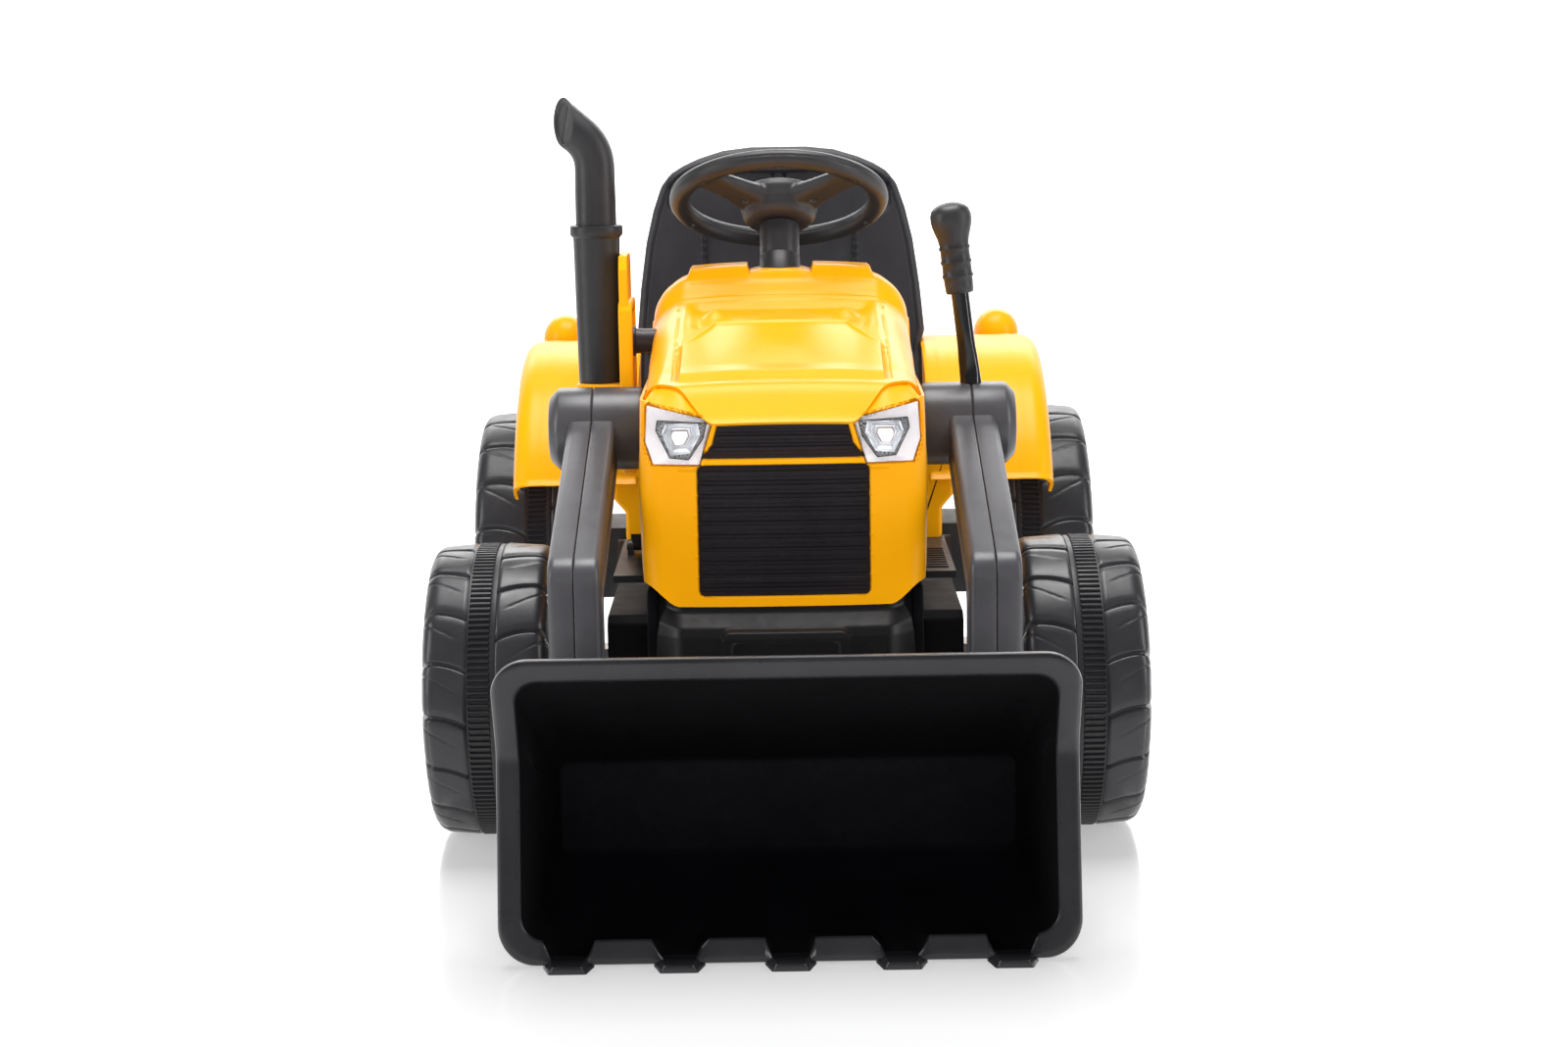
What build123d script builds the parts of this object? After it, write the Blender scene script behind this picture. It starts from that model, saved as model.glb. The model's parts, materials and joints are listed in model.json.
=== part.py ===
"""Child's battery ride-on digger with a front loader bucket.

Millimetres, +Z up. The machine faces -Y, so the driver's right hand is at -X.
The origin is on the floor, under the centre of the bounding box.
"""
from build123d import *
import math
import os

# ---- driving dimensions ----
HALF_LENGTH = 570.0
FLOOR_GAP = 2.0                     # bucket lip above the floor

# wheels
FRONT_AXLE_Y, FRONT_R = -160.0, 132.5
REAR_AXLE_Y, REAR_R = 380.0, 157.5
FRONT_IN, FRONT_OUT = 208.0, 319.0
REAR_IN, REAR_OUT = 210.0, 328.5
FRONT_BAND_X, REAR_BAND_X, BAND_W = 265.0, 258.0, 26.0
BAND_T = 6.0
SHOULDER = 24.0
HUB_RECESS_R, HUB_RECESS_DEPTH = 54.0, 22.0
HUBCAP_R, HUBCAP_T = 51.0, 7.0
STUB_R, REAR_ROD_R, FIT = 8.0, 6.0, 0.05

# steering
STEER_TILT = 26.0                   # column leans back from vertical
STEER_Y, STEER_Z = 100.0, 558.0     # centre of the steering wheel
RIM_R, RIM_TUBE_R = 97.5, 10.0
SHAFT_R, COLUMN_R = 8.0, 20.25
CRANK_R, CRANK_DROP = 38.0, 16.0
KINGPIN_X, KINGPIN_R, KNUCKLE_ARM = 185.0, 6.0, 70.0
TIE_PIN_R = 4.0

# loader
PIVOT_Y, PIVOT_Z, PIVOT_HUB_R = -60.0, 356.0, 38.5
CROSS_R = 12.0
HUB_IN, ARM_IN, ARM_SEAM, ARM_OUT, HUB_OUT = 130.0, 154.0, 176.0, 198.0, 217.0
ARM_FRONT_Y, ARM_REAR_Y = -365.0, -310.0
ARM_SLOPE, ARM_THICK = 0.32, 55.0
BUCKET_PIN_Y, BUCKET_PIN_Z, BUCKET_PIN_R = -337.5, 88.0, 8.0
BUCKET_BACK_Y, BUCKET_TOP_Y, BUCKET_KINK_Y = -372.0, -556.0, -520.0
BUCKET_TOP_Z, BUCKET_KINK_Z = 245.0, 163.0
BUCKET_HALF_W, BUCKET_BACK_HALF_W, BUCKET_WALL = 228.0, 206.0, 4.0
TOOTH_W, TOOTH_PITCH, TOOTH_T = 46.0, 88.0, 9.0

# body
TUB_HALF_W, TUB_FRONT, TUB_BACK, TUB_Z0, TUB_Z1, WALL = 118.0, -232.0, 540.0, 146.0, 206.0, 4.0
HOOD_HALF_W, HOOD_FRONT, HOOD_BACK, HOOD_Z0, HOOD_Z1 = 125.0, -250.0, 80.0, 222.0, 490.0
REAR_HALF_W, REAR_FRONT, SEAT_DECK_Z, REAR_DECK_Z = 150.0, 190.0, 318.0, 396.0
FENDER_R, FENDER_OUT = 235.0, 279.0
SEAT_TOP_Z, SEAT_HALF_W = 600.0, 156.0

# fascia, dash and pedal
LOWER_GRILLE_W, LOWER_GRILLE_Z0, LOWER_GRILLE_Z1 = 75.0, 231.0, 347.0
UPPER_GRILLE_TOP_W, UPPER_GRILLE_BOTTOM_W = 55.5, 66.0
UPPER_GRILLE_Z0, UPPER_GRILLE_Z1 = 353.5, 382.0
LAMP_X0, LAMP_X1, LAMP_Z0, LAMP_Z1 = 70.0, 119.0, 350.0, 384.0
ROCKER_X, ROCKER_Z = 70.0, 400.0
PEDAL_Y, PEDAL_Z, PEDAL_PIN_R = 104.0, TUB_Z1 + 8.0, 4.0
PEDAL_X0, PEDAL_X1, LUG_T = -149.5, -129.0, 6.0
SOCKET_X, SOCKET_Z, SOCKET_R, SOCKET_BORE_R, SOCKET_DEPTH = -70.0, 262.0, 9.0, 4.0, 10.0

# lever and exhaust
LEVER_X, LEVER_LEAN, LEVER_R = 181.0, 6.75, 8.25
GRIP_Z0, GRIP_Z1 = 480.0, 558.0
EXHAUST_X, EXHAUST_Y, PIPE_R = -175.0, 30.0, 18.0
FIN_X0, FIN_X1 = -153.0, -143.0

parts = {}


# ---- small helpers ----
def block(x0, x1, y0, y1, z0, z1):
    """Box between two corners."""
    size = Box(x1 - x0, y1 - y0, z1 - z0)
    return Pos((x0 + x1) / 2, (y0 + y1) / 2, (z0 + z1) / 2) * size


def rod_x(x0, x1, y, z, radius):
    """Cylinder along X."""
    disc = Plane.YZ.offset(min(x0, x1)) * Pos(y, z) * Circle(radius)
    return extrude(disc, amount=abs(x1 - x0))


def rod_z(x, y, z0, z1, radius):
    """Vertical cylinder."""
    return Pos(x, y, (z0 + z1) / 2) * Cylinder(radius, z1 - z0)


def side_face(points, radii=0.0):
    """Closed outline in the YZ plane, with rounded corners where radii say."""
    if isinstance(radii, float):
        radii = [radii] * len(points)
    if max(radii) == 0:
        return make_face(Polyline(*points, close=True))
    return make_face(FilletPolyline(*points, radius=radii, close=True))


def slab_x(face, x0, x1):
    """Extrude a YZ outline between two X stations."""
    return extrude(Plane.YZ.offset(min(x0, x1)) * face, amount=abs(x1 - x0))


def ring_x(x0, x1, y, z, r_in, r_out):
    """Ring about an X axis."""
    return rod_x(x0, x1, y, z, r_out) - rod_x(min(x0, x1) - 1, max(x0, x1) + 1, y, z, r_in)


def spin_x(points, y, z):
    """Revolve an (x, radius) outline about the X axis through y, z."""
    face = make_face(Polyline(*points, close=True))
    return Pos(0, y, z) * revolve(face, axis=Axis.X)


def mirrored(shape):
    return mirror(shape, about=Plane.YZ)


def add_pair(name, shape):
    """Store a +X piece and its mirror image; +X is the driver's left."""
    parts[name + "_left"] = shape
    parts[name + "_right"] = mirrored(shape)


def group(shapes):
    """Separate solids kept in one node."""
    return Compound(children=[s for shape in shapes for s in shape.solids()])


# ---- steering frame ----
tilt = math.radians(STEER_TILT)
steer_axis = Vector(0, math.sin(tilt), math.cos(tilt))
steer_plane = Plane(origin=(0, STEER_Y, STEER_Z), x_dir=(1, 0, 0), z_dir=steer_axis)
TIE_Y = FRONT_AXLE_Y + KNUCKLE_ARM
crank_y = TIE_Y - CRANK_R * math.cos(tilt) + CRANK_DROP * math.sin(tilt)
SHAFT_LENGTH = (STEER_Y - crank_y) / math.sin(tilt)
crank_z = STEER_Z - SHAFT_LENGTH * math.cos(tilt)
TIE_Z = crank_z - CRANK_R * math.sin(tilt) - CRANK_DROP * math.cos(tilt)


def along_column(t0, t1, radius):
    """Cylinder on the steering axis; t is the distance below the wheel's centre."""
    return steer_plane.location * Pos(0, 0, -(t0 + t1) / 2) * Cylinder(radius, abs(t1 - t0))


# ---- chassis ----
def chassis_tub():
    tub = block(-TUB_HALF_W, TUB_HALF_W, TUB_FRONT, TUB_BACK, TUB_Z0, TUB_Z1)
    tub -= block(-TUB_HALF_W + WALL, TUB_HALF_W - WALL, TUB_FRONT + WALL, TUB_BACK - WALL,
                 TUB_Z0 + WALL, TUB_Z1 + 1)
    for side in (-1, 1):
        tub += side_board(side)
        tub += pivot_tower(side)
    for x in (PEDAL_X0 - LUG_T / 2 - 1.5, PEDAL_X1 + LUG_T / 2 + 1.5):
        tub += pedal_lug(x)
    tub -= along_column(60, SHAFT_LENGTH + 60, SHAFT_R + 8)
    tub -= rod_x(-400, 400, REAR_AXLE_Y, REAR_R, REAR_ROD_R)
    tub -= rod_x(-160, -116, PEDAL_Y, PEDAL_Z, PEDAL_PIN_R + FIT)
    return tub


def side_board(side):
    """Footboard beside the tub, with grip ribs."""
    x0, x1 = sorted((side * TUB_HALF_W, side * 165.0))
    board = block(x0, x1, -10, REAR_FRONT - 1, TUB_Z1 - 7, TUB_Z1)
    for index in range(9):
        y = 8.0 + 12.0 * index
        if side > 0:
            board += block(x0 + 6, x1 - 6, y, y + 4, TUB_Z1, TUB_Z1 + 1.5)
    return board


def pivot_tower(side):
    """Bearing plate that carries the loader's cross tube."""
    x0, x1 = sorted((side * 90.0, side * 104.0))
    tower = block(x0, x1, PIVOT_Y - 30, PIVOT_Y + 30, TUB_Z0 + WALL, PIVOT_Z)
    tower += rod_x(x0, x1, PIVOT_Y, PIVOT_Z, 30)
    return tower - rod_x(x0 - 1, x1 + 1, PIVOT_Y, PIVOT_Z, CROSS_R + FIT)


def pedal_lug(x):
    """Lug for the pedal's pin, centred at x."""
    x0, x1 = x - LUG_T / 2, x + LUG_T / 2
    lug = block(x0, x1, PEDAL_Y - 7, PEDAL_Y + 7, TUB_Z1 - 3, PEDAL_Z)
    return lug + rod_x(x0, x1, PEDAL_Y, PEDAL_Z, 7)


def front_bumper():
    outline = side_face([(-236, 148), (-236, 220), (-252, 220), (-262, 206), (-262, 166), (-250, 148)])
    bumper = slab_x(outline, -118, 118)
    bumper -= block(-54, 54, -263, -258, 158, 198)
    return bumper


def hood():
    outer = side_face([(HOOD_FRONT, HOOD_Z0), (HOOD_FRONT, 385), (-190, 415), (-100, 440), (0, 462),
                       (HOOD_BACK, HOOD_Z1), (HOOD_BACK, HOOD_Z0)])
    inner = side_face([(HOOD_FRONT + WALL, HOOD_Z0 - 1), (HOOD_FRONT + WALL, 382), (-188, 411),
                       (-99, 436), (1, 458), (HOOD_BACK + 1, HOOD_Z1 - 4), (HOOD_BACK + 1, HOOD_Z0 - 1)])
    shell = slab_x(outer, -HOOD_HALF_W, HOOD_HALF_W)
    shell = chamfer(shell.edges().filter_by(lambda e: e.center().Z > 380 and abs(e.center().X) > 120), 14)
    shell -= slab_x(inner, -HOOD_HALF_W + 16, HOOD_HALF_W - 16)
    shell -= block(-HOOD_HALF_W + WALL, HOOD_HALF_W - WALL, HOOD_FRONT + WALL, HOOD_BACK + 1,
                   HOOD_Z0 - 1, 366)
    shell -= along_column(20, 300, COLUMN_R + 1)
    shell -= rod_x(-200, 200, PIVOT_Y, PIVOT_Z, CROSS_R + 4)
    shell -= upper_grille_plate(HOOD_FRONT - 1, HOOD_FRONT + WALL + 1)
    shell -= block(-LOWER_GRILLE_W, LOWER_GRILLE_W, HOOD_FRONT - 1, HOOD_FRONT + WALL + 1,
                   LOWER_GRILLE_Z0, LOWER_GRILLE_Z1)
    for side in (-1, 1):
        shell -= lamp_block(side, HOOD_FRONT - 1, HOOD_FRONT + 30)
    return shell


def upper_grille_plate(y0, y1):
    points = [(-UPPER_GRILLE_BOTTOM_W, UPPER_GRILLE_Z0), (UPPER_GRILLE_BOTTOM_W, UPPER_GRILLE_Z0),
              (UPPER_GRILLE_TOP_W, UPPER_GRILLE_Z1), (-UPPER_GRILLE_TOP_W, UPPER_GRILLE_Z1)]
    face = make_face(Polyline(*points, close=True))
    return extrude(Plane.XZ.offset(-y0) * face, amount=-(y1 - y0))


def slatted(plate, z0, z1, count, y0):
    """Cut evenly spaced horizontal grooves into a grille plate."""
    pitch = (z1 - z0) / count
    for index in range(count):
        z = z0 + pitch * (index + 0.5)
        plate -= block(-200, 200, y0 - 1, y0 + 2, z - pitch * 0.25, z + pitch * 0.25)
    return plate


def upper_grille():
    plate = upper_grille_plate(HOOD_FRONT, HOOD_FRONT + WALL)
    return slatted(plate, UPPER_GRILLE_Z0 + 2, UPPER_GRILLE_Z1 - 2, 3, HOOD_FRONT)


def lower_grille():
    plate = block(-LOWER_GRILLE_W, LOWER_GRILLE_W, HOOD_FRONT, HOOD_FRONT + WALL,
                  LOWER_GRILLE_Z0, LOWER_GRILLE_Z1)
    return slatted(plate, LOWER_GRILLE_Z0 + 4, LOWER_GRILLE_Z1 - 4, 10, HOOD_FRONT)


def lamp_block(side, y0, y1):
    x0, x1 = sorted((side * LAMP_X0, side * LAMP_X1))
    return block(x0, x1, y0, y1, LAMP_Z0, LAMP_Z1)


def headlight(side):
    """Lens, reflector and light-emitting core of one headlight."""
    x = side * (LAMP_X0 + LAMP_X1) / 2
    z = (LAMP_Z0 + LAMP_Z1) / 2
    lens = lamp_block(side, HOOD_FRONT - 2, HOOD_FRONT + 1)
    reflector = lamp_block(side, HOOD_FRONT + 1, HOOD_FRONT + 22)
    cup = Pos(x, HOOD_FRONT + 9, z) * Rot(90, 0, 0) * Cone(8, 15, 16)
    reflector -= cup
    led = Pos(x, HOOD_FRONT + 15.5, z) * Rot(90, 0, 0) * Cylinder(6, 3)
    return lens, reflector, led


def dash_panel():
    panel = block(-118, 118, HOOD_BACK, HOOD_BACK + 4, HOOD_Z0, 478)
    panel -= along_column(20, 300, COLUMN_R + 1)
    panel -= block(ROCKER_X - 11, ROCKER_X + 11, HOOD_BACK - 1, HOOD_BACK + 5,
                   ROCKER_Z - 16, ROCKER_Z + 16)
    for side in (-1, 1):
        x0, x1 = sorted((side * 12.0, side * 15.0))
        ear = block(ROCKER_X + x0, ROCKER_X + x1, HOOD_BACK - 8, HOOD_BACK, ROCKER_Z - 5, ROCKER_Z + 5)
        panel += ear - rod_x(ROCKER_X - 20, ROCKER_X + 20, HOOD_BACK - 3, ROCKER_Z, 2 + FIT)
    return panel


def direction_rocker():
    """Forward and reverse rocker on the dash, on its own pin."""
    cap = side_face([(HOOD_BACK - 6, ROCKER_Z - 8), (HOOD_BACK - 6, ROCKER_Z + 8),
                     (HOOD_BACK + 5, ROCKER_Z + 13), (HOOD_BACK + 9, ROCKER_Z + 12),
                     (HOOD_BACK + 6, ROCKER_Z), (HOOD_BACK + 9, ROCKER_Z - 12),
                     (HOOD_BACK + 5, ROCKER_Z - 13)])
    rocker = slab_x(cap, ROCKER_X - 10, ROCKER_X + 10)
    return rocker + rod_x(ROCKER_X - 15, ROCKER_X + 15, HOOD_BACK - 3, ROCKER_Z, 2)


def socket_tool(y0, y1, radius):
    """Cylinder on the charging socket's axis, which runs along Y."""
    return Pos(SOCKET_X, (y0 + y1) / 2, SOCKET_Z) * Rot(90, 0, 0) * Cylinder(radius, y1 - y0)


def charge_socket():
    """Charging socket in the rear wall, open to the back."""
    body = socket_tool(HALF_LENGTH - SOCKET_DEPTH, HALF_LENGTH, SOCKET_R)
    return body - socket_tool(HALF_LENGTH - SOCKET_DEPTH + 2, HALF_LENGTH + 1, SOCKET_BORE_R)


# ---- rear body ----
def rear_body():
    outer = side_face([(REAR_FRONT, TUB_Z1), (REAR_FRONT, SEAT_DECK_Z), (420, SEAT_DECK_Z),
                       (420, REAR_DECK_Z), (505, REAR_DECK_Z), (556, 350), (HALF_LENGTH, 306),
                       (HALF_LENGTH, TUB_Z1)])
    inner = side_face([(REAR_FRONT + WALL, TUB_Z1 - 1), (REAR_FRONT + WALL, SEAT_DECK_Z - WALL),
                       (424, SEAT_DECK_Z - WALL), (424, REAR_DECK_Z - WALL), (503, REAR_DECK_Z - WALL),
                       (552, 348), (HALF_LENGTH - WALL, 305), (HALF_LENGTH - WALL, TUB_Z1 - 1)])
    shell = slab_x(outer, -REAR_HALF_W, REAR_HALF_W)
    shell -= slab_x(inner, -REAR_HALF_W + WALL, REAR_HALF_W - WALL)
    return shell - socket_tool(HALF_LENGTH - WALL - 1, HALF_LENGTH + 1, SOCKET_R)


def sector_face(r_in, r_out, start, end):
    """Ring sector about the rear axle in the YZ plane; angles from +Y, in degrees."""
    def at(radius, angle):
        turn = math.radians(angle)
        return (REAR_AXLE_Y + radius * math.cos(turn), REAR_R + radius * math.sin(turn))
    middle = (start + end) / 2
    edges = [ThreePointArc(at(r_out, start), at(r_out, middle), at(r_out, end)),
             Line(at(r_out, end), at(r_in, end)),
             ThreePointArc(at(r_in, end), at(r_in, middle), at(r_in, start)),
             Line(at(r_in, start), at(r_out, start))]
    return make_face(edges)


def rear_fender():
    fender = slab_x(sector_face(FENDER_R - WALL, FENDER_R, 38, 152.5), REAR_HALF_W, FENDER_OUT)
    fender += slab_x(sector_face(FENDER_R - 14, FENDER_R, 38, 152.5), FENDER_OUT - WALL, FENDER_OUT)
    pod = block(229, 262, 452, 508, 350, 411)
    pod = fillet(pod.edges().filter_by(lambda e: e.center().Z > 375), 14)
    pod -= rod_x(200, 300, REAR_AXLE_Y, REAR_R, FENDER_R - WALL)
    return fender + pod


def seat():
    """Seat pan and back as one moulded shell."""
    pan = side_face([(200, SEAT_DECK_Z), (196, 344), (206, 352), (330, 344), (352, 380), (376, SEAT_TOP_Z),
                     (392, SEAT_TOP_Z), (418, 392), (418, SEAT_DECK_Z)])
    body = slab_x(pan, -SEAT_HALF_W, SEAT_HALF_W)
    outline = [(-149, SEAT_DECK_Z - 1), (149, SEAT_DECK_Z - 1), (149, 394), (SEAT_HALF_W, 400),
               (150, 450), (133, 520),
               (104, 575), (66, SEAT_TOP_Z), (-66, SEAT_TOP_Z), (-104, 575), (-133, 520), (-150, 450),
               (-SEAT_HALF_W, 400), (-149, 394)]
    front = make_face(Polyline(*outline, close=True))
    body &= extrude(Plane.XZ.offset(-430) * front, amount=240)
    hollow = side_face([(206, SEAT_DECK_Z - 1), (206, 338), (334, 336), (362, 384), (384, 570), (390, 570),
                        (410, 392), (410, SEAT_DECK_Z - 1)])
    return body - slab_x(hollow, -115, 115)


# ---- exhaust ----
def exhaust_lower():
    outline = [(0, 390), (19, 390), (21.5, 528), (24, 530), (24, 540), (0, 540)]
    pipe = revolve(make_face(Plane.XZ * Polyline(*outline, close=True)), axis=Axis.Z)
    pipe -= Pos(0, 0, 480) * Cylinder(15, 122)
    return Pos(EXHAUST_X, EXHAUST_Y, 0) * pipe


def exhaust_upper():
    path = FilletPolyline((EXHAUST_X, EXHAUST_Y, 540), (EXHAUST_X, EXHAUST_Y, 618),
                          (EXHAUST_X - 30, EXHAUST_Y, 647.5), radius=34)
    section = Plane(origin=(EXHAUST_X, EXHAUST_Y, 540), z_dir=(0, 0, 1))
    outer = sweep(section * Circle(PIPE_R), path=path)
    return outer - sweep(section * Circle(PIPE_R - 3), path=path)


def exhaust_panel():
    """Fin beside the exhaust, with its shelf and the stub tube to the hood."""
    fin = slab_x(side_face([(-20, 330), (-20, 496), (-8, 512), (44, 512), (50, 504), (50, 330), (32, 308),
                            (-2, 308)]), FIN_X0, FIN_X1)
    fin += block(EXHAUST_X - 22, FIN_X0, 8, 50, 382, 390)
    return fin + rod_x(FIN_X1, -HOOD_HALF_W, 15, 430, 11)


# ---- running gear ----
def steering_column():
    column = along_column(26, 150, COLUMN_R)
    return column - along_column(20, 160, SHAFT_R + FIT)


def front_axle_beam():
    beam = block(-166, 166, FRONT_AXLE_Y - 14, FRONT_AXLE_Y + 14, 118, TUB_Z0)
    for side in (-1, 1):
        x0, x1 = sorted((side * 158.0, side * 166.0))
        beam += block(x0, x1, FRONT_AXLE_Y - 14, FRONT_AXLE_Y + 14, 96, 170)
        x0, x1 = sorted((side * 158.0, side * 198.0))
        for z0 in (96.0, 162.0):
            beam += block(x0, x1, FRONT_AXLE_Y - 14, FRONT_AXLE_Y + 14, z0, z0 + 8)
        beam -= rod_z(side * KINGPIN_X, FRONT_AXLE_Y, 90, 180, KINGPIN_R + FIT)
    return beam


def knuckle():
    """Steering knuckle with kingpin, stub axle and slotted arm, +X side."""
    body = rod_z(KINGPIN_X, FRONT_AXLE_Y, 104.5, 161.5, 11)
    body += rod_z(KINGPIN_X, FRONT_AXLE_Y, 94, 172, KINGPIN_R)
    body += rod_x(KINGPIN_X, FRONT_OUT - 9, FRONT_AXLE_Y, FRONT_R, STUB_R)
    arm = block(KINGPIN_X - 9, KINGPIN_X + 9, FRONT_AXLE_Y, TIE_Y + 18, 106, 114)
    slot_half = TIE_PIN_R + 1.4
    arm -= block(KINGPIN_X - slot_half, KINGPIN_X + slot_half, TIE_Y - 7, TIE_Y + 12, 100, 120)
    return body + arm


def tie_rod():
    rod = block(-KINGPIN_X - 7, KINGPIN_X + 7, TIE_Y - 6, TIE_Y + 6, TIE_Z - 4, TIE_Z + 4)
    rod += block(-16, 16, TIE_Y - 24, TIE_Y + 18, TIE_Z - 4, TIE_Z + 4)
    rod -= block(-TIE_PIN_R - 1.5, TIE_PIN_R + 1.5, TIE_Y - 18, TIE_Y + 11, TIE_Z - 5, TIE_Z + 5)
    for side in (-1, 1):
        rod += rod_z(side * KINGPIN_X, TIE_Y, TIE_Z, 120, TIE_PIN_R)
    return rod


def steering_shaft():
    shaft = along_column(6, SHAFT_LENGTH, SHAFT_R)
    crank = Box(20, CRANK_R, 6) + Pos(0, CRANK_R / 2, 0) * Cylinder(10, 6)
    crank += Pos(0, -CRANK_R / 2, 0) * Cylinder(10, 6)
    crank += Pos(0, CRANK_R / 2, -14) * Cylinder(TIE_PIN_R, 28)
    return shaft + steer_plane.location * Pos(0, CRANK_R / 2, -SHAFT_LENGTH) * crank


def wheel(x_in, x_out, radius, band_x, y, bore):
    """Blow-moulded tyre and rim as one hollow wheel, +X side, with a groove for its band."""
    top = radius
    outline = [(x_in, 30), (x_in, top - SHOULDER), (x_in + 6, top - 10), (x_in + SHOULDER, top),
               (x_out - SHOULDER, top), (x_out - 7, top - 9), (x_out, top - SHOULDER), (x_out, HUB_RECESS_R),
               (x_out - HUB_RECESS_DEPTH, HUB_RECESS_R), (x_out - HUB_RECESS_DEPTH, bore + FIT),
               (x_in, bore + FIT)]
    body = spin_x(outline, y, radius)
    body -= ring_x(x_in - 1, x_out - HUB_RECESS_DEPTH - 6, y, radius, 26, top - 16)
    return body - ring_x(band_x - BAND_W / 2, band_x + BAND_W / 2, y, radius, top - BAND_T, top + 5)


def tread_band(radius, band_x, y):
    return ring_x(band_x - BAND_W / 2, band_x + BAND_W / 2, y, radius, radius - BAND_T, radius)


def hubcap(x_out, radius, y):
    cap = rod_x(x_out - HUBCAP_T, x_out, y, radius, HUBCAP_R)
    cap += ring_x(x_out - HUB_RECESS_DEPTH, x_out - HUBCAP_T, y, radius, HUBCAP_R - 4, HUBCAP_R)
    return cap + ring_x(x_out - HUBCAP_T, x_out - 2, y, radius, HUBCAP_R, HUB_RECESS_R)


def gearbox():
    box = block(122, 202, REAR_AXLE_Y - 62, REAR_AXLE_Y + 34, REAR_R - 38, REAR_R + 38)
    box -= rod_x(100, 220, REAR_AXLE_Y, REAR_R, REAR_ROD_R)
    return box + block(TUB_HALF_W, 122, REAR_AXLE_Y - 40, REAR_AXLE_Y - 15, REAR_R, REAR_R + 30)


def drive_motors():
    return group([rod_x(side * 146, side * 178, REAR_AXLE_Y - 94, REAR_R, 31) for side in (-1, 1)])


def wiring_harness():
    path = FilletPolyline((0, 214, 176), (0, 170, 176), (34, 110, 160), (46, 10, 160), (46, -120, 162),
                          radius=[40, 40, 50])
    section = Plane(origin=path @ 0, z_dir=path % 0)
    return sweep(section * Circle(3.5), path=path)


# ---- loader ----
def arm_outline(shrink):
    """Arm outline in YZ: sloping boom, elbow and a leg with a round end, minus a wall."""
    rise = math.hypot(1, ARM_SLOPE)
    top = PIVOT_Z + 23.6 - shrink * rise
    low = top - (ARM_THICK - 2 * shrink) * rise
    front, rear = ARM_FRONT_Y + shrink, ARM_REAR_Y - shrink
    elbow_z = top + (front - PIVOT_Y) * ARM_SLOPE
    crook_z = low + (rear - PIVOT_Y) * ARM_SLOPE
    points = [(PIVOT_Y, top), (front, elbow_z), (front, BUCKET_PIN_Z), (rear, BUCKET_PIN_Z),
              (rear, crook_z), (PIVOT_Y, low)]
    face = make_face(FilletPolyline(*points, radius=[0, 22, 0, 0, 12, 0], close=True))
    face += Pos(BUCKET_PIN_Y, BUCKET_PIN_Z) * Circle((rear - front) / 2)
    return face


def arm_half(x0, x1, hub_x, seam):
    """One half of a clamshell arm; seam is the open side's X."""
    shell = slab_x(arm_outline(0), x0, x1)
    shell += rod_x(seam, hub_x, PIVOT_Y, PIVOT_Z, PIVOT_HUB_R)
    inward = 1 if hub_x < seam else -1
    wall = 3.0 * inward
    outer_x = x0 if inward > 0 else x1
    shell -= slab_x(arm_outline(3), outer_x + wall, seam)
    shell -= rod_x(hub_x + wall, seam, PIVOT_Y, PIVOT_Z, PIVOT_HUB_R - 3)
    shell += ring_x(outer_x, seam, BUCKET_PIN_Y, BUCKET_PIN_Z, BUCKET_PIN_R + FIT, 16)
    shell -= rod_x(outer_x - wall, seam, BUCKET_PIN_Y, BUCKET_PIN_Z, BUCKET_PIN_R + FIT)
    return shell


def lever_tool(z0, z1, radius):
    """Cylinder on the lever's leaning axis; z runs from the loader pivot's height."""
    lean = Pos(LEVER_X, PIVOT_Y, PIVOT_Z) * Rot(0, -LEVER_LEAN, 0)
    return lean * Pos(0, 0, (z0 + z1) / 2 - PIVOT_Z) * Cylinder(radius, z1 - z0)


def arms():
    """Two clamshell halves for each arm; the lever stands in the +X pair."""
    inner = arm_half(ARM_IN, ARM_SEAM, HUB_IN, ARM_SEAM)
    inner -= rod_x(HUB_IN - 1, ARM_SEAM, PIVOT_Y, PIVOT_Z, CROSS_R)
    outer = arm_half(ARM_SEAM, ARM_OUT, HUB_OUT, ARM_SEAM)
    outer = chamfer(outer.edges().filter_by(GeomType.CIRCLE).sort_by(Axis.X)[-1], 9)
    parts["arm_right_inner"] = mirrored(inner)
    parts["arm_right_outer"] = mirrored(outer)
    parts["arm_left_inner"] = inner - lever_tool(370, 480, LEVER_R)
    parts["arm_left_outer"] = outer - lever_tool(370, 480, LEVER_R)


def lever_grip():
    outline = [(0, GRIP_Z0), (12, GRIP_Z0), (14, GRIP_Z0 + 4)]
    for index in range(3):
        z = GRIP_Z0 + 8 + 12 * index
        outline += [(14, z), (16, z + 3), (14.5, z + 7)]
    outline += [(17, GRIP_Z1 - 26), (19.7, GRIP_Z1 - 14), (18.5, GRIP_Z1 - 4), (13, GRIP_Z1), (0, GRIP_Z1)]
    grip = revolve(make_face(Plane.XZ * Polyline(*outline, close=True)), axis=Axis.Z)
    grip = Pos(LEVER_X, PIVOT_Y, PIVOT_Z) * Rot(0, -LEVER_LEAN, 0) * Pos(0, 0, -PIVOT_Z) * grip
    return grip - lever_tool(GRIP_Z0 - 5, GRIP_Z1 - 12, LEVER_R)


def arm_screws():
    places = [(-125, 337), (-190, 316), (-265, 291), (-337.5, 250), (-337.5, 190), (-337.5, 135)]
    heads = []
    for side in (-1, 1):
        for y, z in places:
            heads.append(rod_x(side * ARM_OUT, side * (ARM_OUT + 2), y, z, 4.5))
    return group(heads)


def bucket_shell(outline, half_w):
    return slab_x(side_face(outline), -half_w, half_w)


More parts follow.
